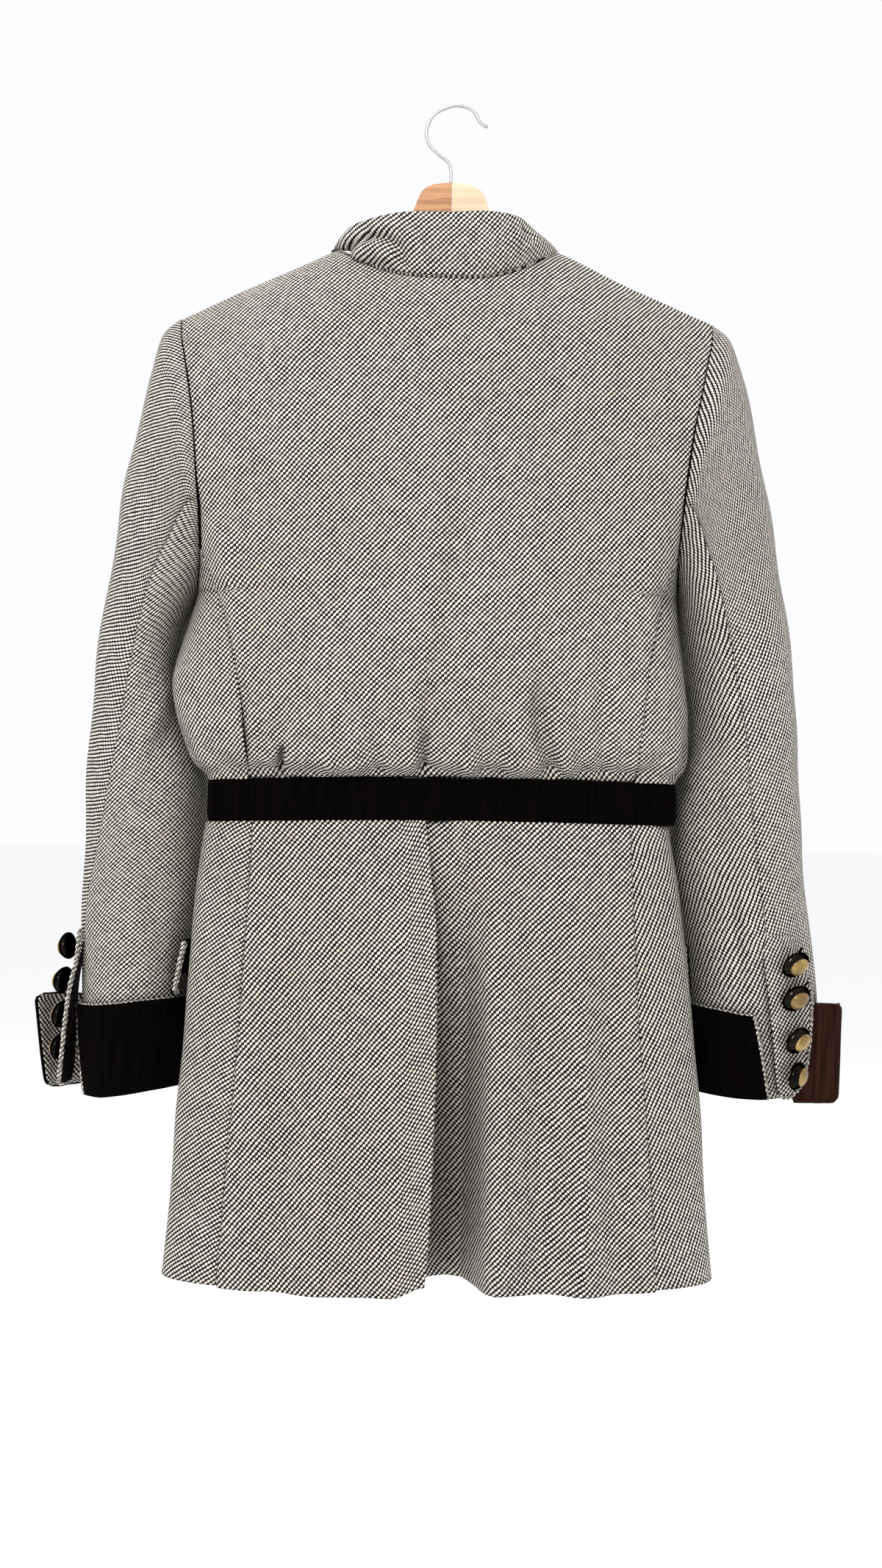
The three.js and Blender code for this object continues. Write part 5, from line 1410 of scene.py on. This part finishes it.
def ovalPiece(name, matrix, halfLength, halfWidth, height, profile, lift, material, slotName, node):
    # a turned oval form: the profile's points are (share of the half width, share of the height)
    n = button["around"]
    angles = np.linspace(0, 2 * math.pi, n, endpoint=False)
    local = [(0, lift + profile[0][1] * height, 0)]
    for out, up in profile[1:-1]:
        for a in angles:
            local.append((out * halfLength * math.cos(a), lift + up * height, out * halfWidth * math.sin(a)))
    local.append((0, lift + profile[-1][1] * height, 0))
    after = [(i + 1) % n for i in range(n)]
    base = 1 + (len(profile) - 3) * n
    first = [(0, 1 + i, 1 + after[i]) for i in range(n)]
    bands = [(ring + i, ring + n + i, ring + n + after[i], ring + after[i]) for ring in range(1, base, n)
             for i in range(n)]
    last = [(base + i, len(local) - 1, base + after[i]) for i in range(n)]
    points = [tuple(matrix @ (Vector(p) / 1000)) for p in local]
    return placePiece(meshObject(name, points, (first, bands, last), material), slotName, node)


def placeButton(node, at, normal, up, along):
    length = (along - up * along.dot(up)).normalized()
    width = length.cross(up).normalized()
    reach = math.hypot(button["halfLength"] * length.dot(normal), button["halfWidth"] * width.dot(normal))
    sunk = max(out * reach - rise * button["height"] * up.dot(normal) for out, rise in seatProfile)
    place = (at + normal * (button["clear"] + sunk)) / 1000
    matrix = Matrix.Translation(place) @ Matrix((length, up, width)).transposed().to_4x4()
    ovalPiece(node, matrix, button["halfLength"], button["halfWidth"], button["height"], buttonProfile, 0,
              blackGloss, "button_black", node)
    ovalPiece(node + "_stone", matrix, stone["halfLength"], stone["halfWidth"], stone["height"], stoneProfile,
              button["height"] - stone["sunk"], amber, "button_stone", node + "_stone")


def at3(point):
    return Vector([float(value) for value in point])


for side in bothSides:
    places = buttonPlace[side]
    for i in range(len(places["z"])):
        share, z = places["share"][i], places["z"][i]
        at = at3(tonguePoint(side, share, z))
        beside = at3(tonguePoint(side, share + 0.1, z)) - at
        above = at3(tonguePoint(side, share, z + 5)) - at
        normal = beside.cross(above).normalized() * signOf[side]
        along = beside.normalized() + Vector((0, 0, button["slope"]))
        tilted = (normal + Vector([places[tilt][i] for tilt in ("tiltX", "tiltY", "tiltZ")])).normalized()
        placeButton("sleeve_button_" + side + "_" + str(i + 1), at, normal, tilted, along)
for i, z in enumerate(frontButtonZ):
    at = Vector((0, float(bodyY(0.0, z, 1)), z))
    above = Vector((0, float(bodyY(0.0, z + 5, 1)), z + 5)) - at
    facing = above.cross(Vector((1, 0, 0))).normalized()
    placeButton("front_button_" + str(i + 1), at, facing, facing, Vector((1, 0, 0)))
# stitched buttonhole ends that show beside the two upper right buttons
holes = {"shares": (0.8, 0.98), "rise": (7.5, 11), "radius": 1.0}
for i in range(2):
    z = buttonPlace["right"]["z"][i]
    path = [tonguePoint("right", mix(*holes["shares"], t), z + mix(*holes["rise"], t)) for t in np.linspace(0, 1, 12)]
    cord("buttonhole_right_" + str(i + 1), path, holes["radius"], velvet, "velvet")
print("buttons sewn on")


# hanger
wire = {"radius": 1.55, "steps": 160}
hangerEdge = {"width": 0.0022, "segments": 4, "sharpest": 40}
for node, wood in (("hanger_left", beech), ("hanger_right", paleWood)):
    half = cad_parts[node]
    half.data.materials.clear()
    half.data.materials.append(wood)
    bevel = half.modifiers.new("rounded", "BEVEL")
    bevel.width = hangerEdge["width"]
    bevel.segments = hangerEdge["segments"]
    bevel.limit_method = "ANGLE"
    bevel.angle_limit = math.radians(hangerEdge["sharpest"])


def smoothPath(rows, count):
    # even points on one smooth curve through the rows
    length = runLength(np.stack((rows["x"], rows["z"]), axis=1))
    t = np.linspace(0, length[-1], count)
    i = np.clip(np.searchsorted(length, t, side="right") - 1, 0, len(length) - 2)
    step = length[i + 1] - length[i]
    x, z = (cubic(rows[name][i], rows[name][i + 1], slope[i], slope[i + 1], step, (t - length[i]) / step)
            for name, slope in ((name, np.gradient(rows[name], length)) for name in ("x", "z")))
    return np.stack((x, 0 * t, z), axis=1)


tube("hanger_hook", smoothPath(hookPath, wire["steps"]), wire["radius"], steel, "steel", sides=16,
     nodes=("hanger_hook",))
print("hanger finished")


# floor, light and camera
stage = {"floorZ": -1.30, "floorSize": 40, "floorLook": {"Base Color": (0.95, 0.95, 0.95, 1), "Roughness": 0.9},
         "roomLook": {"Color": (0.97, 0.98, 1.0, 1), "Strength": 1.0}, "lensMm": 42.2, "sensorMm": 36,
         "cameraAt": (-0.0007, -1.465, -0.5377), "rollDegrees": 0.62,
         "lights": {"key": {"location": (-0.75, -2.1, 1.5), "energy": 42, "size": 1.0},
                    "rim": {"location": (0.4, 2.2, 1.2), "energy": 30, "size": 1.6},
                    "glint": {"location": (-0.35, -1.5, 0.5), "energy": 3, "size": 0.1, "target": (0.25, 0, -0.7)}}}


def makeFloor():
    size = stage["floorSize"] / 2
    mesh = bpy.data.meshes.new("floor")
    corners = [(-size, -size), (size, -size), (size, size), (-size, size)]
    mesh.from_pydata([(x, y, stage["floorZ"]) for x, y in corners], [], [(0, 1, 2, 3)])
    floor = bpy.data.objects.new("floor", mesh)
    bpy.context.collection.objects.link(floor)
    material, tree, shader = newMaterial("floorPale")
    setInputs(tree, shader, stage["floorLook"])
    mesh.materials.append(material)


def addLight(name, location, energy, size, target=(0, 0, -0.5)):
    light = bpy.data.lights.new(name, "AREA")
    light.energy = energy
    light.shape = "DISK"
    light.size = size
    lamp = bpy.data.objects.new(name, light)
    lamp.location = location
    lamp.rotation_euler = (Vector(target) - Vector(location)).to_track_quat("-Z", "Y").to_euler()
    bpy.context.collection.objects.link(lamp)


for side in bothSides:
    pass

makeFloor()
for name, values in stage["lights"].items():
    addLight(name, **values)
world = bpy.data.worlds.new("paleRoom")
world.use_nodes = True
setInputs(world.node_tree, world.node_tree.nodes["Background"], stage["roomLook"])
bpy.context.scene.world = world
bpy.context.scene.view_settings.view_transform = "Standard"
camera = bpy.data.cameras.new("camera")
camera.lens = stage["lensMm"]
camera.sensor_fit = "VERTICAL"
camera.sensor_height = stage["sensorMm"]
viewer = bpy.data.objects.new("camera", camera)
viewer.matrix_world = (Matrix.Translation(stage["cameraAt"]) @ Matrix.Rotation(math.radians(90), 4, "X")
                       @ Matrix.Rotation(math.radians(stage["rollDegrees"]), 4, "Z"))
bpy.context.collection.objects.link(viewer)
bpy.context.scene.camera = viewer

bpy.context.view_layer.update()
